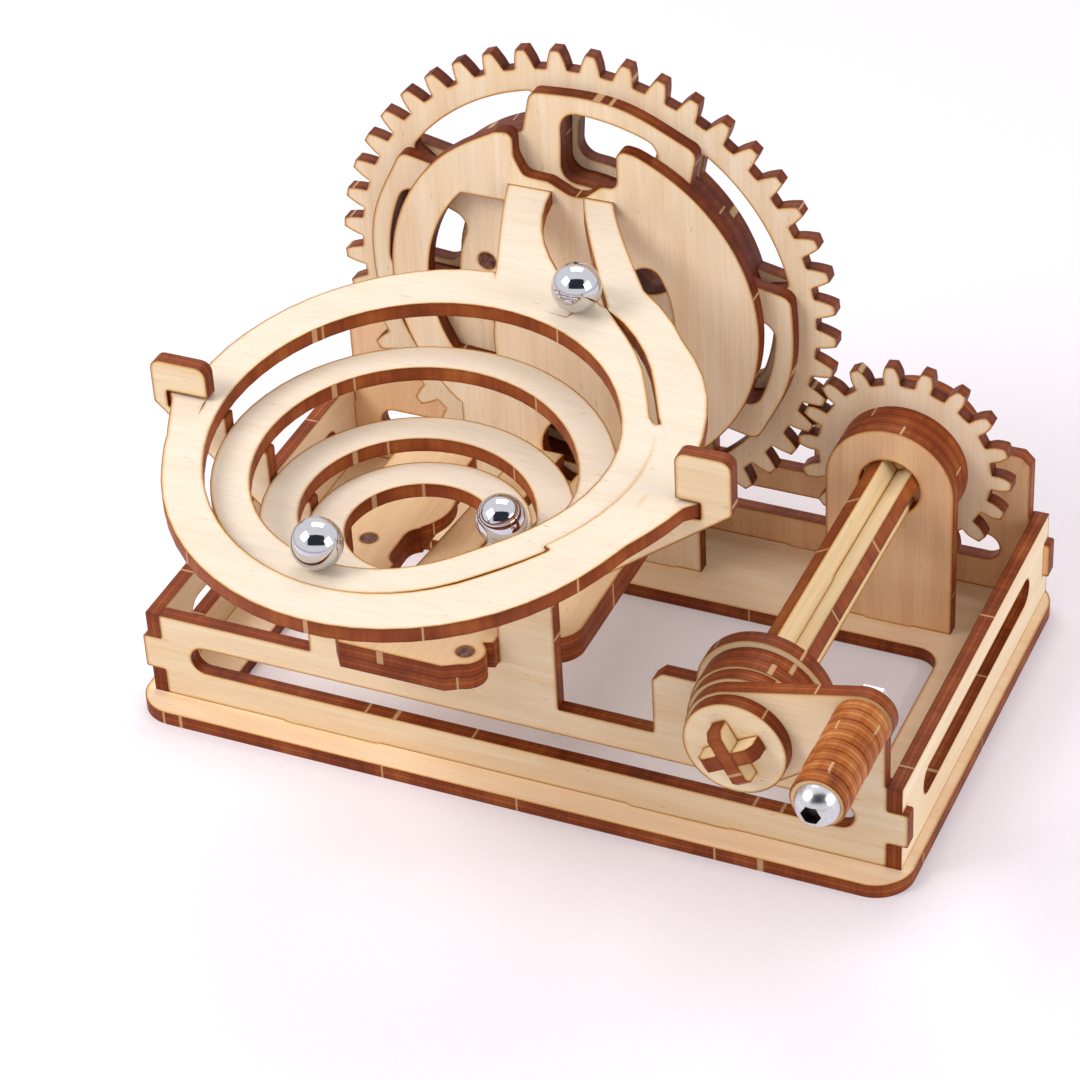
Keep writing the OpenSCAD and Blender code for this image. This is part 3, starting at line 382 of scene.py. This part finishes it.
def charred_edge(tree, place, across, char, layered, near):
    """The colour of a cut edge, and its stripes for the relief. char goes from dark to light."""
    where = place.outputs["Object"]
    in_sheet = place_in_sheet(tree, where, across)
    # char: stripes about 0.6 mm wide, as the beam stepped, and darker and lighter stretches of 9 mm
    stripes = add_node(tree, "ShaderNodeTexNoise",
                       values={"Scale": 1 / mm(1.2), "Detail": 2.0, "Roughness": 0.55},
                       links={"Vector": in_sheet})
    patches = add_node(tree, "ShaderNodeTexNoise", values={"Scale": 1 / mm(9.0), "Detail": 1.0},
                       links={"Vector": where})
    burn = add_node(tree, "ShaderNodeMath", {"operation": "MULTIPLY_ADD"}, {1: 0.5},
                    {0: stripes.outputs["Fac"], 2: patches.outputs["Fac"]})
    burn = add_node(tree, "ShaderNodeMapRange", values={"From Min": 0.36, "From Max": 1.14},
                    links={"Value": burn.outputs[0]})
    edge = add_node(tree, "ShaderNodeValToRGB", links={"Fac": burn.outputs[0]})
    ramp = edge.color_ramp
    ramp.elements[0].position, ramp.elements[0].color = 0.0, linear(char[0])
    ramp.elements[1].position, ramp.elements[1].color = 1.0, linear(char[2])
    middle = ramp.elements.new(0.5)
    middle.color = linear(char[1])
    edge_colour = edge.outputs["Color"]
    if layered:
        depth = add_node(tree, "ShaderNodeVectorMath", {"operation": "DOT_PRODUCT"},
                         {1: across}, {0: place.outputs["Generated"]})
        edge_colour = with_glue_lines(tree, edge_colour, depth.outputs["Value"])
    # the beam's entry and exit leave the edge's own borders darker
    border = add_node(tree, "ShaderNodeMath", {"operation": "MULTIPLY"}, {1: 0.6}, {0: near})
    edge_dark = add_node(tree, "ShaderNodeMix", {"data_type": "RGBA"}, {7: linear(char[0])},
                         {0: border.outputs[0], 6: edge_colour})
    # snapped tabs: pale marks 0.4 mm wide where the borders of 46 mm cells cross an edge
    cells = add_node(tree, "ShaderNodeTexVoronoi", {"feature": "DISTANCE_TO_EDGE"},
                     {"Scale": 1 / mm(46.0)}, {"Vector": in_sheet})
    tab = add_node(tree, "ShaderNodeMapRange",
                   values={"From Min": 0.0052, "From Max": 0.0034, "To Max": 0.62},
                   links={"Value": cells.outputs["Distance"]})
    edge_final = add_node(tree, "ShaderNodeMix", {"data_type": "RGBA"}, {7: linear("DDB988")},
                          {0: tab.outputs[0], 6: edge_dark.outputs[2]})
    return edge_final.outputs[2], stripes.outputs["Fac"]


print("charred edge ready: stripes, glue lines and tabs")

# %% Laser-cut birch plywood
def birch_ply(name, across, along, pale, deep, layered=True, char=("64270B", "8E441A", "AE662D"),
              face_from=0.5):
    """across is the direction through the sheet and along the direction of the fibres."""
    material = new_material(name)
    tree = material.node_tree
    place = add_node(tree, "ShaderNodeTexCoord")
    # a veneer face looks along the direction through the sheet, a cut edge doesn't
    facing = add_node(tree, "ShaderNodeVectorMath", {"operation": "DOT_PRODUCT"},
                      {1: across}, {0: place.outputs["Normal"]})
    facing = add_node(tree, "ShaderNodeMath", {"operation": "ABSOLUTE"},
                      links={0: facing.outputs["Value"]})
    on_face = add_node(tree, "ShaderNodeMapRange",
                       values={"From Min": face_from, "From Max": face_from + 0.06},
                       links={"Value": facing.outputs[0]})
    near = near_a_corner(tree)
    bare, fibres = veneer_colour(tree, place.outputs["Object"], along, pale, deep)
    edge, stripes = charred_edge(tree, place, across, char, layered, near)
    colour = add_node(tree, "ShaderNodeMix", {"data_type": "RGBA"}, links={
        0: on_face.outputs[0], 6: edge, 7: scorched(tree, bare, near)})
    # sanded veneer is matt, char is a little smoother
    matt_level = add_node(tree, "ShaderNodeMapRange", values={"To Min": 0.52, "To Max": 0.66},
                          links={"Value": on_face.outputs[0]})
    relief = add_node(tree, "ShaderNodeMix", {"data_type": "FLOAT"}, links={
        0: on_face.outputs[0], 2: stripes, 3: fibres})
    bump = add_node(tree, "ShaderNodeBump", values={"Strength": 0.35, "Distance": mm(0.08)},
                    links={"Height": relief.outputs[0]})
    wood = add_node(tree, "ShaderNodeBsdfPrincipled",
                    values={"IOR": 1.5, "Specular IOR Level": 0.2},
                    links={"Base Color": colour.outputs[2], "Roughness": matt_level.outputs[0],
                           "Normal": bump.outputs[0]})
    add_node(tree, "ShaderNodeOutputMaterial", links={"Surface": wood.outputs[0]})
    return material


ACROSS_X, ACROSS_Y, ACROSS_Z = (1, 0, 0), (0, 1, 0), (0, 0, 1)
print("birch_ply ready: face, scorch and edge in one material")

# %% [markdown]
# The parts were cut from several sheets. The funnel's is the least yellow, the deck comes from a
# warmer one, and the grip's rings were charred the most evenly, to a clear amber. The parts at the
# back carry painted shade: their shade sheet is a darker, pinker copy of the birch that stands in
# for the shade they sit in. Each sheet is one call, with its own directions through the sheet and
# along the fibres.
# The shaft's two strips stand crosswise, and at rest the cross is turned by 29 degrees.

# %% Sheets of plywood
sheets = {
    "birch_ply_front": birch_ply("birch_ply_front", ACROSS_Y, (1, 0, 0), "F1DFBE", "EACFA6"),
    "birch_ply_wheel": birch_ply("birch_ply_wheel", ACROSS_Y, (0, 0, 1), "F7E5CA", "EED5B0",
                                 char=("4E1C0A", "793514", "9A5826")),
    # painted shade: a darker, pinker copy of the birch for the back wall, the pinion post and the
    # spacers, standing in for the shade they sit in
    "birch_ply_shade": birch_ply("birch_ply_shade", ACROSS_Y, (0, 0, 1), "F4CFA6", "E9BE93"),
    "birch_ply_side": birch_ply("birch_ply_side", ACROSS_X, (0, 1, 0), "F8E8CC", "F0D9B4"),
    "birch_ply_base": birch_ply("birch_ply_base", ACROSS_Z, (1, 0, 0), "F9E2C3", "F1D3AF"),
    "birch_ply_deck": birch_ply("birch_ply_deck", ACROSS_Z, (0, 1, 0), "EFD3AC", "E4C096"),
    "birch_ply_funnel": birch_ply("birch_ply_funnel", ACROSS_Z, (1, 0, 0), "EADDCB", "E6D8C4",
                                  layered=False),
    "birch_ply_grip": birch_ply("birch_ply_grip", ACROSS_Y, (1, 0, 0), "E6C99E", "DCB888",
                                char=("5E260A", "B0662A", "D8985A"), face_from=0.93),
}
strip_turn = math.radians(-29.0)
for name, turn in (("birch_ply_strip_a", strip_turn),
                   ("birch_ply_strip_b", strip_turn - math.pi / 2)):
    through = (math.sin(turn), 0, math.cos(turn))
    sheets[name] = birch_ply(name, through, (0, 1, 0), "F0DCB4", "E7CCA0", layered=False)

sheet_of = {
    "front_cradle": "front", "crank_cap": "front", "crank_arm": "front", "hub_disc_1": "front",
    "hub_disc_2": "front", "hub_disc_3": "front", "left_wall": "side", "right_wall": "side",
    "lobe_plate_front": "wheel", "gear_ring": "wheel", "lobe_plate_back": "wheel",
    # the shade sheet is painted shade for the parts at the back
    "pinion": "wheel", "wheel_guide": "wheel", "back_wall": "shade", "pinion_post": "shade",
    "pinion_spacer_1": "shade", "pinion_spacer_2": "shade", "rear_spacer": "shade",
    "base_plate": "base", "exit_deck_upper": "deck", "exit_deck_lower": "deck",
    "ramp_rail_left": "deck", "ramp_rail_right": "deck", "funnel_track": "funnel",
    "shaft_strip_a": "strip_a", "shaft_strip_b": "strip_b",
}
ring_numbers = range(1, 9)
for ring in ring_numbers:
    sheet_of[f"grip_ring_{ring}"] = "grip"
for part, sheet in sheet_of.items():
    for slot in nodes[part].material_slots:
        slot.material = sheets["birch_ply_" + sheet]
print("plywood parts:", len(sheet_of), "sheets:", len(sheets))

# %% [markdown]
# ## Birch dowel
# The pins and the wheel's axle are turned birch dowel, cut to length with the same laser. Their
# sides are plain pale wood with fibres along the pin. Their ends are end grain, charred nearly
# black at the rim and brown in the middle, which makes them dark dots on the pale sheets.

# %% Turned dowel with charred ends
def birch_dowel(name, along):
    material = new_material(name)
    tree = material.node_tree
    place = add_node(tree, "ShaderNodeTexCoord")
    facing = add_node(tree, "ShaderNodeVectorMath", {"operation": "DOT_PRODUCT"},
                      {1: along}, {0: place.outputs["Normal"]})
    facing = add_node(tree, "ShaderNodeMath", {"operation": "ABSOLUTE"},
                      links={0: facing.outputs["Value"]})
    on_end = add_node(tree, "ShaderNodeMapRange", values={"From Min": 0.35, "From Max": 0.6},
                      links={"Value": facing.outputs[0]})
    # fibres 0.4 mm wide run the length of the pin
    fibre = along_fibres(tree, place.outputs["Object"], along, 10.0, 0.4, Detail=2.0)
    side_tone = add_node(tree, "ShaderNodeMix", {"data_type": "RGBA"}, {
        6: linear("E2C398"), 7: linear("C39A69")}, {0: fibre.outputs["Fac"]})
    # end grain: pores 0.5 mm across, charred in patches
    pores = add_node(tree, "ShaderNodeTexVoronoi", values={"Scale": 1 / mm(0.5)},
                     links={"Vector": place.outputs["Object"]})
    patches = add_node(tree, "ShaderNodeTexNoise", values={"Scale": 1 / mm(1.4), "Detail": 2.0},
                       links={"Vector": place.outputs["Object"]})
    charred = add_node(tree, "ShaderNodeValToRGB", links={"Fac": patches.outputs["Fac"]})
    ramp = charred.color_ramp
    ramp.elements[0].position, ramp.elements[0].color = 0.34, linear("3A1A12")
    ramp.elements[1].position, ramp.elements[1].color = 0.68, linear("8C5A40")
    end_tone = add_node(tree, "ShaderNodeMix", {"data_type": "RGBA", "blend_type": "MULTIPLY"},
                        {0: 0.35}, {6: charred.outputs["Color"], 7: pores.outputs["Distance"]})
    colour = add_node(tree, "ShaderNodeMix", {"data_type": "RGBA"}, links={
        0: on_end.outputs[0], 6: side_tone.outputs[2], 7: end_tone.outputs[2]})
    bump = add_node(tree, "ShaderNodeBump", values={"Strength": 0.4, "Distance": mm(0.1)},
                    links={"Height": fibre.outputs["Fac"]})
    wood = add_node(tree, "ShaderNodeBsdfPrincipled", values={"Roughness": 0.58, "IOR": 1.5},
                    links={"Base Color": colour.outputs[2], "Normal": bump.outputs[0]})
    add_node(tree, "ShaderNodeOutputMaterial", links={"Surface": wood.outputs[0]})
    return material


dowel_level = birch_dowel("birch_dowel_level", (0, 1, 0))
dowel_upright = birch_dowel("birch_dowel_upright", (0, 0, 1))
for part, dowel in (("wheel_axle", dowel_level), ("wheel_collar", dowel_level),
                    ("wheel_pegs", dowel_level), ("deck_pegs", dowel_upright)):
    for slot in nodes[part].material_slots:
        slot.material = dowel
print("dowel:", dowel_level.name, dowel_upright.name)

# %% [markdown]
# ## Steel
# The balls are bearing balls: hardened chrome steel, ground and polished until they mirror the
# room, with hair-fine handling marks. The grip's screw and nut are zinc-plated: brighter in hue,
# softer in reflection, with a fine satin grain. Both are metals, so the colour is the colour of
# the reflection and the IOR stays at its default.

# %% Polished bearing steel
bearing_steel = new_material("polished_bearing_steel")
tree = bearing_steel.node_tree
place = add_node(tree, "ShaderNodeTexCoord")
# handling marks, drawn about 0.3 mm wide and seen only as a slight change of gloss
marks = add_node(tree, "ShaderNodeTexNoise",
                 values={"Scale": 1 / mm(1.2), "Detail": 4.0, "Roughness": 0.7, "Distortion": 1.5},
                 links={"Vector": place.outputs["Object"]})
gloss = add_node(tree, "ShaderNodeMapRange",
                 values={"From Min": 0.35, "From Max": 0.75, "To Min": 0.05, "To Max": 0.13},
                 links={"Value": marks.outputs["Fac"]})
steel_tone = add_node(tree, "ShaderNodeMix", {"data_type": "RGBA"}, {
    6: linear("D3D4DA"), 7: linear("C2C2CA")}, {0: marks.outputs["Fac"]})
steel = add_node(tree, "ShaderNodeBsdfPrincipled", values={"Metallic": 1.0}, links={
    "Base Color": steel_tone.outputs[2], "Roughness": gloss.outputs[0]})
add_node(tree, "ShaderNodeOutputMaterial", links={"Surface": steel.outputs[0]})
print("material:", bearing_steel.name)

# %% Zinc-plated screw steel
zinc_steel = new_material("zinc_plated_steel")
tree = zinc_steel.node_tree
place = add_node(tree, "ShaderNodeTexCoord")
# a satin skin: grains about 0.5 mm across change the gloss a little
grains = add_node(tree, "ShaderNodeTexNoise", values={"Scale": 1 / mm(0.5), "Detail": 3.0},
                  links={"Vector": place.outputs["Object"]})
zinc_gloss = add_node(tree, "ShaderNodeMapRange", values={"To Min": 0.16, "To Max": 0.34},
                      links={"Value": grains.outputs["Fac"]})
zinc_tone = add_node(tree, "ShaderNodeMix", {"data_type": "RGBA"}, {
    6: linear("D9D9DC"), 7: linear("BDBDC4")}, {0: grains.outputs["Fac"]})
zinc_bump = add_node(tree, "ShaderNodeBump", values={"Strength": 0.12, "Distance": mm(0.02)},
                     links={"Height": grains.outputs["Fac"]})
zinc = add_node(tree, "ShaderNodeBsdfPrincipled", values={"Metallic": 1.0}, links={
    "Base Color": zinc_tone.outputs[2], "Roughness": zinc_gloss.outputs[0],
    "Normal": zinc_bump.outputs[0]})
add_node(tree, "ShaderNodeOutputMaterial", links={"Surface": zinc.outputs[0]})
for part in ("grip_bolt", "grip_nut"):
    for slot in nodes[part].material_slots:
        slot.material = zinc_steel
print("material:", zinc_steel.name)

# %% Oiled steel with painted shade in the socket
socket_oil_and_shade_steel = new_material("oiled_steel_painted_shade")
tree = socket_oil_and_shade_steel.node_tree
place = add_node(tree, "ShaderNodeTexCoord")
film = add_node(tree, "ShaderNodeTexNoise", values={"Scale": 1 / mm(0.8), "Detail": 2.0},
                links={"Vector": place.outputs["Object"]})
# the cup's dark tone: an oil film, and painted shade of the deep socket
oil_and_shade_tone = add_node(tree, "ShaderNodeMix", {"data_type": "RGBA"}, {
    6: linear("2E2826"), 7: linear("6A605C")}, {0: film.outputs["Fac"]})
oiled = add_node(tree, "ShaderNodeBsdfPrincipled", values={"Metallic": 1.0, "Roughness": 0.38},
                 links={"Base Color": oil_and_shade_tone.outputs[2]})
add_node(tree, "ShaderNodeOutputMaterial", links={"Surface": oiled.outputs[0]})
print("material:", socket_oil_and_shade_steel.name)

# %% [markdown]
# ## Smooth outlines
# The exact plates draw their arcs in straight steps, some as long as 17 mm, and the steps show on
# the skyline. Drawing each plate again by hand is one way. Here each plate is traced instead: the
# outline of its low face is followed, real corners stay sharp, and every shallow bend becomes a
# curve through the same points. A flat curve with a thickness then gives the new plate.

# %% Follow the outlines of a face
same_height = 0.02


def outlines(part, axis):
    """The closed outlines of a plate's low face in millimetres, and the heights of both faces."""
    flat = [a for a in (0, 1, 2) if a != axis]
    spots = [part.matrix_world @ vertex.co * 1000 for vertex in part.data.vertices]
    low, high = min(s[axis] for s in spots), max(s[axis] for s in spots)
    sides = {}
    for polygon in part.data.polygons:
        corners = [spots[i] for i in polygon.vertices]
        if max(corner[axis] for corner in corners) - low < same_height:
            keys = [tuple(round(corner[a], 4) for a in flat) for corner in corners]
            for start, end in zip(keys, keys[1:] + keys[:1]):
                if (end, start) in sides:
                    del sides[end, start]
                else:
                    sides[start, end] = True
    follow = {start: end for start, end in sides}
    loops = []
    while follow:
        start, point = follow.popitem()
        loop = [start]
        while point != start:
            loop.append(point)
            point = follow.pop(point)
        loops.append([Vector(p) for p in loop])
    return loops, low, high


print("gear_ring has", len(outlines(nodes["gear_ring"], 1)[0]), "outlines")

# %% Measure and clean the bends
def turn_at(before, here, after):
    first, second = (here - before).normalized(), (after - here).normalized()
    return math.acos(max(-1.0, min(1.0, first.dot(second))))


def join_tiny_steps(loop, corner, tiny=1.0, long=1.8):
    """One tiny step between two long chords that bend less than a real corner becomes a point."""
    count = len(loop)
    chords = [loop[(i + 1) % count] - loop[i] for i in range(count)]
    joined = []
    for i in range(count):
        before, after = chords[i - 1], chords[(i + 1) % count]
        if (chords[i].length < tiny and min(before.length, after.length) > long
                and before.angle(after) < corner):
            joined.append(loop[i] + chords[i] / 2)
        elif not (chords[i - 1].length < tiny and min(chords[i - 2].length, chords[i].length) > long
                  and chords[i - 2].angle(chords[i]) < corner):
            joined.append(loop[i])
    return joined


print("a right angle turns by", round(math.degrees(
    turn_at(Vector((0, 0)), Vector((1, 0)), Vector((1, 1))))), "degrees")

# %% Turn shallow bends into curves
def smooth_outline(loop, loose):
    """Real corners stay. Shallow bends are joined by curves, in steps of about 0.6 mm. On a loose
    outline, a long chord is part of an arc as soon as one neighbour is as long."""
    corner, no_turn, step, most_parts = math.radians(33), math.radians(0.3), 0.6, 24
    # a chord this many times as long as its neighbours is a straight stretch
    straight_share = 2.2
    loop = join_tiny_steps(loop, corner)
    count = len(loop)
    loop = [loop[i] for i in range(count)
            if turn_at(loop[i - 1], loop[i], loop[(i + 1) % count]) > no_turn]
    count = len(loop)
    chords = [loop[(i + 1) % count] - loop[i] for i in range(count)]
    soft = [turn_at(loop[i - 1], loop[i], loop[(i + 1) % count]) < corner for i in range(count)]

    def is_straight(i):
        near = [chords[i - 1].length if soft[i] else None,
                chords[(i + 1) % count].length if soft[(i + 1) % count] else None]
        near = [length for length in near if length is not None]
        return not near or chords[i].length > straight_share * (max(near) if loose else min(near))

    straight = [is_straight(i) for i in range(count)]

    def tangent(i):
        before, after = chords[i - 1], chords[i]
        if straight[i - 1] != straight[i]:
            return (before if straight[i - 1] else after).normalized()
        # a short end of a chord bends as much as a whole one, so both sides weigh the same then
        shorter, longer = sorted((before.length, after.length))
        uneven = longer > straight_share * shorter
        first, second = (1, 1) if uneven else (after.length, before.length)
        return (before.normalized() * first + after.normalized() * second).normalized()

    points = []
    for i in range(count):
        start, end, chord = loop[i], loop[(i + 1) % count], chords[i]
        points.append(start)
        if straight[i]:
            continue
        along = chord.normalized()
        t0 = tangent(i) if soft[i] else None
        t1 = tangent((i + 1) % count) if soft[(i + 1) % count] else None
        t0 = t0 or 2 * along.dot(t1) * along - t1
        t1 = t1 or 2 * along.dot(t0) * along - t0
        parts = min(most_parts, math.ceil(chord.length / step))
        for k in range(1, parts):
            # a cubic that runs from start to end and leaves each along its own direction
            f = k / parts
            between = start * (2 * f ** 3 - 3 * f ** 2 + 1) + end * (3 * f ** 2 - 2 * f ** 3)
            bow = t0 * (f ** 3 - 2 * f ** 2 + f) + t1 * (f ** 3 - f ** 2)
            points.append(between + bow * chord.length)
    return points


sixteen_sides = [Vector((10 * math.cos(k * math.pi / 8), 10 * math.sin(k * math.pi / 8)))
                 for k in range(16)]
print("16 corners on a circle become", len(smooth_outline(sixteen_sides, True)), "points")

# %% Close a mesh and give it its finish
def finish_mesh(mesh, name, material, sharp=30):
    """One closed skin, with arcs shaded smooth and edges sharper than the angle kept."""
    bmesh.ops.remove_doubles(mesh, verts=mesh.verts, dist=mm(0.002))
    bmesh.ops.recalc_face_normals(mesh, faces=mesh.faces)
    data = bpy.data.meshes.new(name)
    mesh.to_mesh(data)
    mesh.free()
    for polygon in data.polygons:
        polygon.use_smooth = True
    data.set_sharp_from_angle(angle=math.radians(sharp))
    data.materials.append(material)
    piece = bpy.data.objects.new(name, data)
    bpy.context.scene.collection.objects.link(piece)
    return piece


print("finish_mesh ready: edges over 30 degrees stay sharp")

# %% Build a plate from its outlines
def smooth_plate(part, axis, body, loose):
    loops, low, high = outlines(nodes[part], axis)
    curve = bpy.data.curves.new(part + "_outline", "CURVE")
    curve.dimensions, curve.fill_mode, curve.extrude = "2D", "BOTH", (high - low) / 2
    for loop in loops:
        points = smooth_outline(loop, loose)
        spline = curve.splines.new("POLY")
        spline.points.add(len(points) - 1)
        for spot, point in zip(spline.points, points):
            spot.co = (point.x, point.y, 0, 1)
        spline.use_cyclic_u = True
    holder = bpy.data.objects.new(part + "_outline", curve)
    flat_mesh = bpy.data.meshes.new_from_object(holder)
    mesh = bmesh.new()
    mesh.from_mesh(flat_mesh)
    for vertex in mesh.verts:
        u, v, w = vertex.co
        spot = [u, v]
        spot.insert(axis, w + (low + high) / 2)
        vertex.co = Vector(spot) / 1000
    piece = finish_mesh(mesh, "smooth_" + part, nodes[part].material_slots[0].material)
    bpy.data.objects.remove(holder)
    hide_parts(part)
    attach(piece, body)
    return len(loops), len(piece.data.vertices)


print("smooth_plate ready: the new plates are named smooth_ and the part's name")

# %% Smooth plates
for part, body, slot, loose in (
        ("front_cradle", "frame", "birch_ply", False),
        # the back wall takes the shade sheet, with its painted shade
        ("back_wall", "frame", "birch_ply_warm", False),
        ("wheel_guide", "frame", "birch_ply", True),
        ("lobe_plate_front", "wheel", "birch_ply", True),
        ("lobe_plate_back", "wheel", "birch_ply", True),
        ("gear_ring", "wheel", "birch_ply", False),
        ("crank_arm", "crank", "birch_ply", False)):
    print(part, "outlines and points:", smooth_plate(part, 1, body, loose))

# %% [markdown]
# ## Grip
# The grip is a stack of rings on a screw. Each ring's corners are burnt back a little, so a dark
# groove shows between two rings, and the rings never line up perfectly. A lathe profile with small
# chamfers gives the groove as real geometry, and a seeded offset gives the wobble.

# %% Lathe
def lathe(profile, centre, steps=72):
    """profile holds (radius, y) pairs in mm of a closed outline, turned round the y direction."""
    mesh = bmesh.new()
    rows = []
    for k in range(steps):
        a = 2 * math.pi * k / steps
        rows.append([mesh.verts.new((centre[0] + mm(r) * math.cos(a), mm(y),
                                     centre[1] + mm(r) * math.sin(a))) for r, y in profile])
    for k in range(steps):
        row, after = rows[k], rows[(k + 1) % steps]
        for i in range(len(profile)):
            j = (i + 1) % len(profile)
            mesh.faces.new((row[i], row[j], after[j], after[i]))
    return mesh


square = lathe([(2, 0), (3, 0), (3, 1), (2, 1)], (0, 0))
print("a square profile turns into", len(square.faces), "faces")
square.free()

# %% Grip rings
# in mm: radius of the hole, how far a ring may sit off its middle, and the burnt-back corner,
# which has a first slope up to ease short of the full radius and a steeper one after it
bore, play, chamfer, ease = 2.1, 0.07, 0.38, 0.1
first_slope, whole_slope = chamfer * 0.6, chamfer * 1.6
wobble = random.Random(7)
for ring in ring_numbers:
    part = f"grip_ring_{ring}"
    low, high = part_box(part)
    outer = (high.x - low.x) * 500 - play
    y0, y1 = low.y * 1000, high.y * 1000
    turn = wobble.uniform(0, 2 * math.pi)
    centre = ((low.x + high.x) / 2 + mm(play) * math.cos(turn),
              (low.z + high.z) / 2 + mm(play) * math.sin(turn))
    mesh = lathe([(bore, y0), (outer - chamfer, y0), (outer - ease, y0 + first_slope),
                  (outer, y0 + whole_slope), (outer, y1 - whole_slope),
                  (outer - ease, y1 - first_slope), (outer - chamfer, y1), (bore, y1)], centre)
    piece = finish_mesh(mesh, "burnt_" + part, sheets["birch_ply_grip"])
    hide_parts(part)
    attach(piece, "grip")
print("grip rings:", len(ring_numbers))

# %% [markdown]
# ## Screw
# The screw's head is a dome with a hexagonal socket. The dome is a grid that runs from the
# hexagon's outline out to the rim, so the socket's edge is exact. The socket is lined with a cup of
# its own, nearly black: a film of oil, and painted shade for the shade deep in the socket.

# %% Rings of points for the screw
low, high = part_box("grip_bolt")
centre = ((low.x + high.x) / 2, (low.z + high.z) / 2)
head_r, head_h, socket_r, socket_depth, shank_r = 4.5, 4.0, 2.0, 2.2, 2.0
tip, end = low.y * 1000, high.y * 1000
# the dome is part of a ball round this place
ball_y = tip + head_r
steps, rows = 96, 14


def hexagon(radius, angle):
    """How far a hexagon reaches in the direction of the angle. radius is that of its corners."""
    return radius * math.cos(math.pi / 6) / math.cos(angle % (math.pi / 3) - math.pi / 6)


def ring_of(mesh, radius_at, y_at):
    ring = []
    for k in range(steps):
        a = 2 * math.pi * k / steps
        r = radius_at(a)
        ring.append(mesh.verts.new((centre[0] + mm(r) * math.cos(a), mm(y_at(r)),
                                    centre[1] + mm(r) * math.sin(a))))
    return ring


def bridge(mesh, rings):
    for ring, after in zip(rings, rings[1:]):
        for k in range(steps):
            j = (k + 1) % steps
            mesh.faces.new((ring[k], ring[j], after[j], after[k]))


def dome_y(r):
    return ball_y - math.sqrt(max(0.0, head_r ** 2 - r ** 2))


print("the screw is", round(end - tip, 1), "mm long")

# %% Socket screw
face_y = tip + head_h
rim_r = math.sqrt(head_r ** 2 - (ball_y - face_y) ** 2)
floor_y = tip + socket_depth
head = bmesh.new()
rings = [ring_of(head, lambda a: hexagon(socket_r, a), lambda r: floor_y)]
rings += [ring_of(head, lambda a, f=i / rows: hexagon(socket_r, a) * (1 - f) + rim_r * f, dome_y)
          for i in range(rows + 1)]
rings += [ring_of(head, lambda a: shank_r, lambda r: face_y),
          ring_of(head, lambda a: shank_r, lambda r: end)]
bridge(head, rings)
head.faces.new(rings[0])
head.faces.new(rings[-1])
screw = finish_mesh(head, "socket_screw", zinc_steel, sharp=35)
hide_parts("grip_bolt")
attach(screw, "crank")
print("screw:", screw.name, "with", len(screw.data.polygons), "faces")

# %% Dark cup in the socket, with painted shade
# a thin dark skin inside the socket: painted shade, with the oiled steel's colour
cup = bmesh.new()
skin, sunk = 0.05, 0.1
rings = [ring_of(cup, lambda a: hexagon(socket_r - skin, a), lambda r: floor_y - skin),
         ring_of(cup, lambda a: hexagon(socket_r - skin, a), lambda r: dome_y(socket_r) + sunk),
         ring_of(cup, lambda a: hexagon(socket_r, a), lambda r: dome_y(socket_r) + sunk),
         ring_of(cup, lambda a: hexagon(socket_r, a), lambda r: floor_y)]
bridge(cup, rings)
cup.faces.new(rings[0])
cup.faces.new(rings[-1])
socket = finish_mesh(cup, "screw_socket", socket_oil_and_shade_steel)
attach(socket, "crank")
print("cup:", socket.name, "is", skin, "mm thick")

# %% [markdown]
# ## Balls
# A mirror shows every facet of a mesh, so each ball gets a mesh of its own. A UV sphere pinches at
# its poles. A cube that is subdivided and pushed out to the radius has even faces all over, and
# it takes smooth shading well.

# %% Steel balls
def steel_ball(name, node):
    low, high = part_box(node)
    centre, radius = (low + high) / 2, (high.z - low.z) / 2
    mesh = bmesh.new()
    bmesh.ops.create_cube(mesh, size=1.0)
    cells_a_side = 24
    bmesh.ops.subdivide_edges(mesh, edges=mesh.edges[:], cuts=cells_a_side - 1,
                              use_grid_fill=True)
    for vertex in mesh.verts:
        vertex.co = vertex.co.normalized() * radius
    for face in mesh.faces:
        face.smooth = True
    data = bpy.data.meshes.new(name)
    mesh.to_mesh(data)
    mesh.free()
    data.materials.append(bearing_steel)
    ball = bpy.data.objects.new(name, data)
    ball.location = centre
    bpy.context.scene.collection.objects.link(ball)
    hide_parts(node)
    return ball


for node, body in (("ball_on_rails", "rail_ball"), ("ball_on_turn", "turn_ball"),
                   ("ball_on_inner_ring", "ring_ball")):
    ball = steel_ball("steel_" + node, node)
    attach(ball, body)
    print(ball.name, "at", [round(c * 1000, 1) for c in ball.location], "mm")
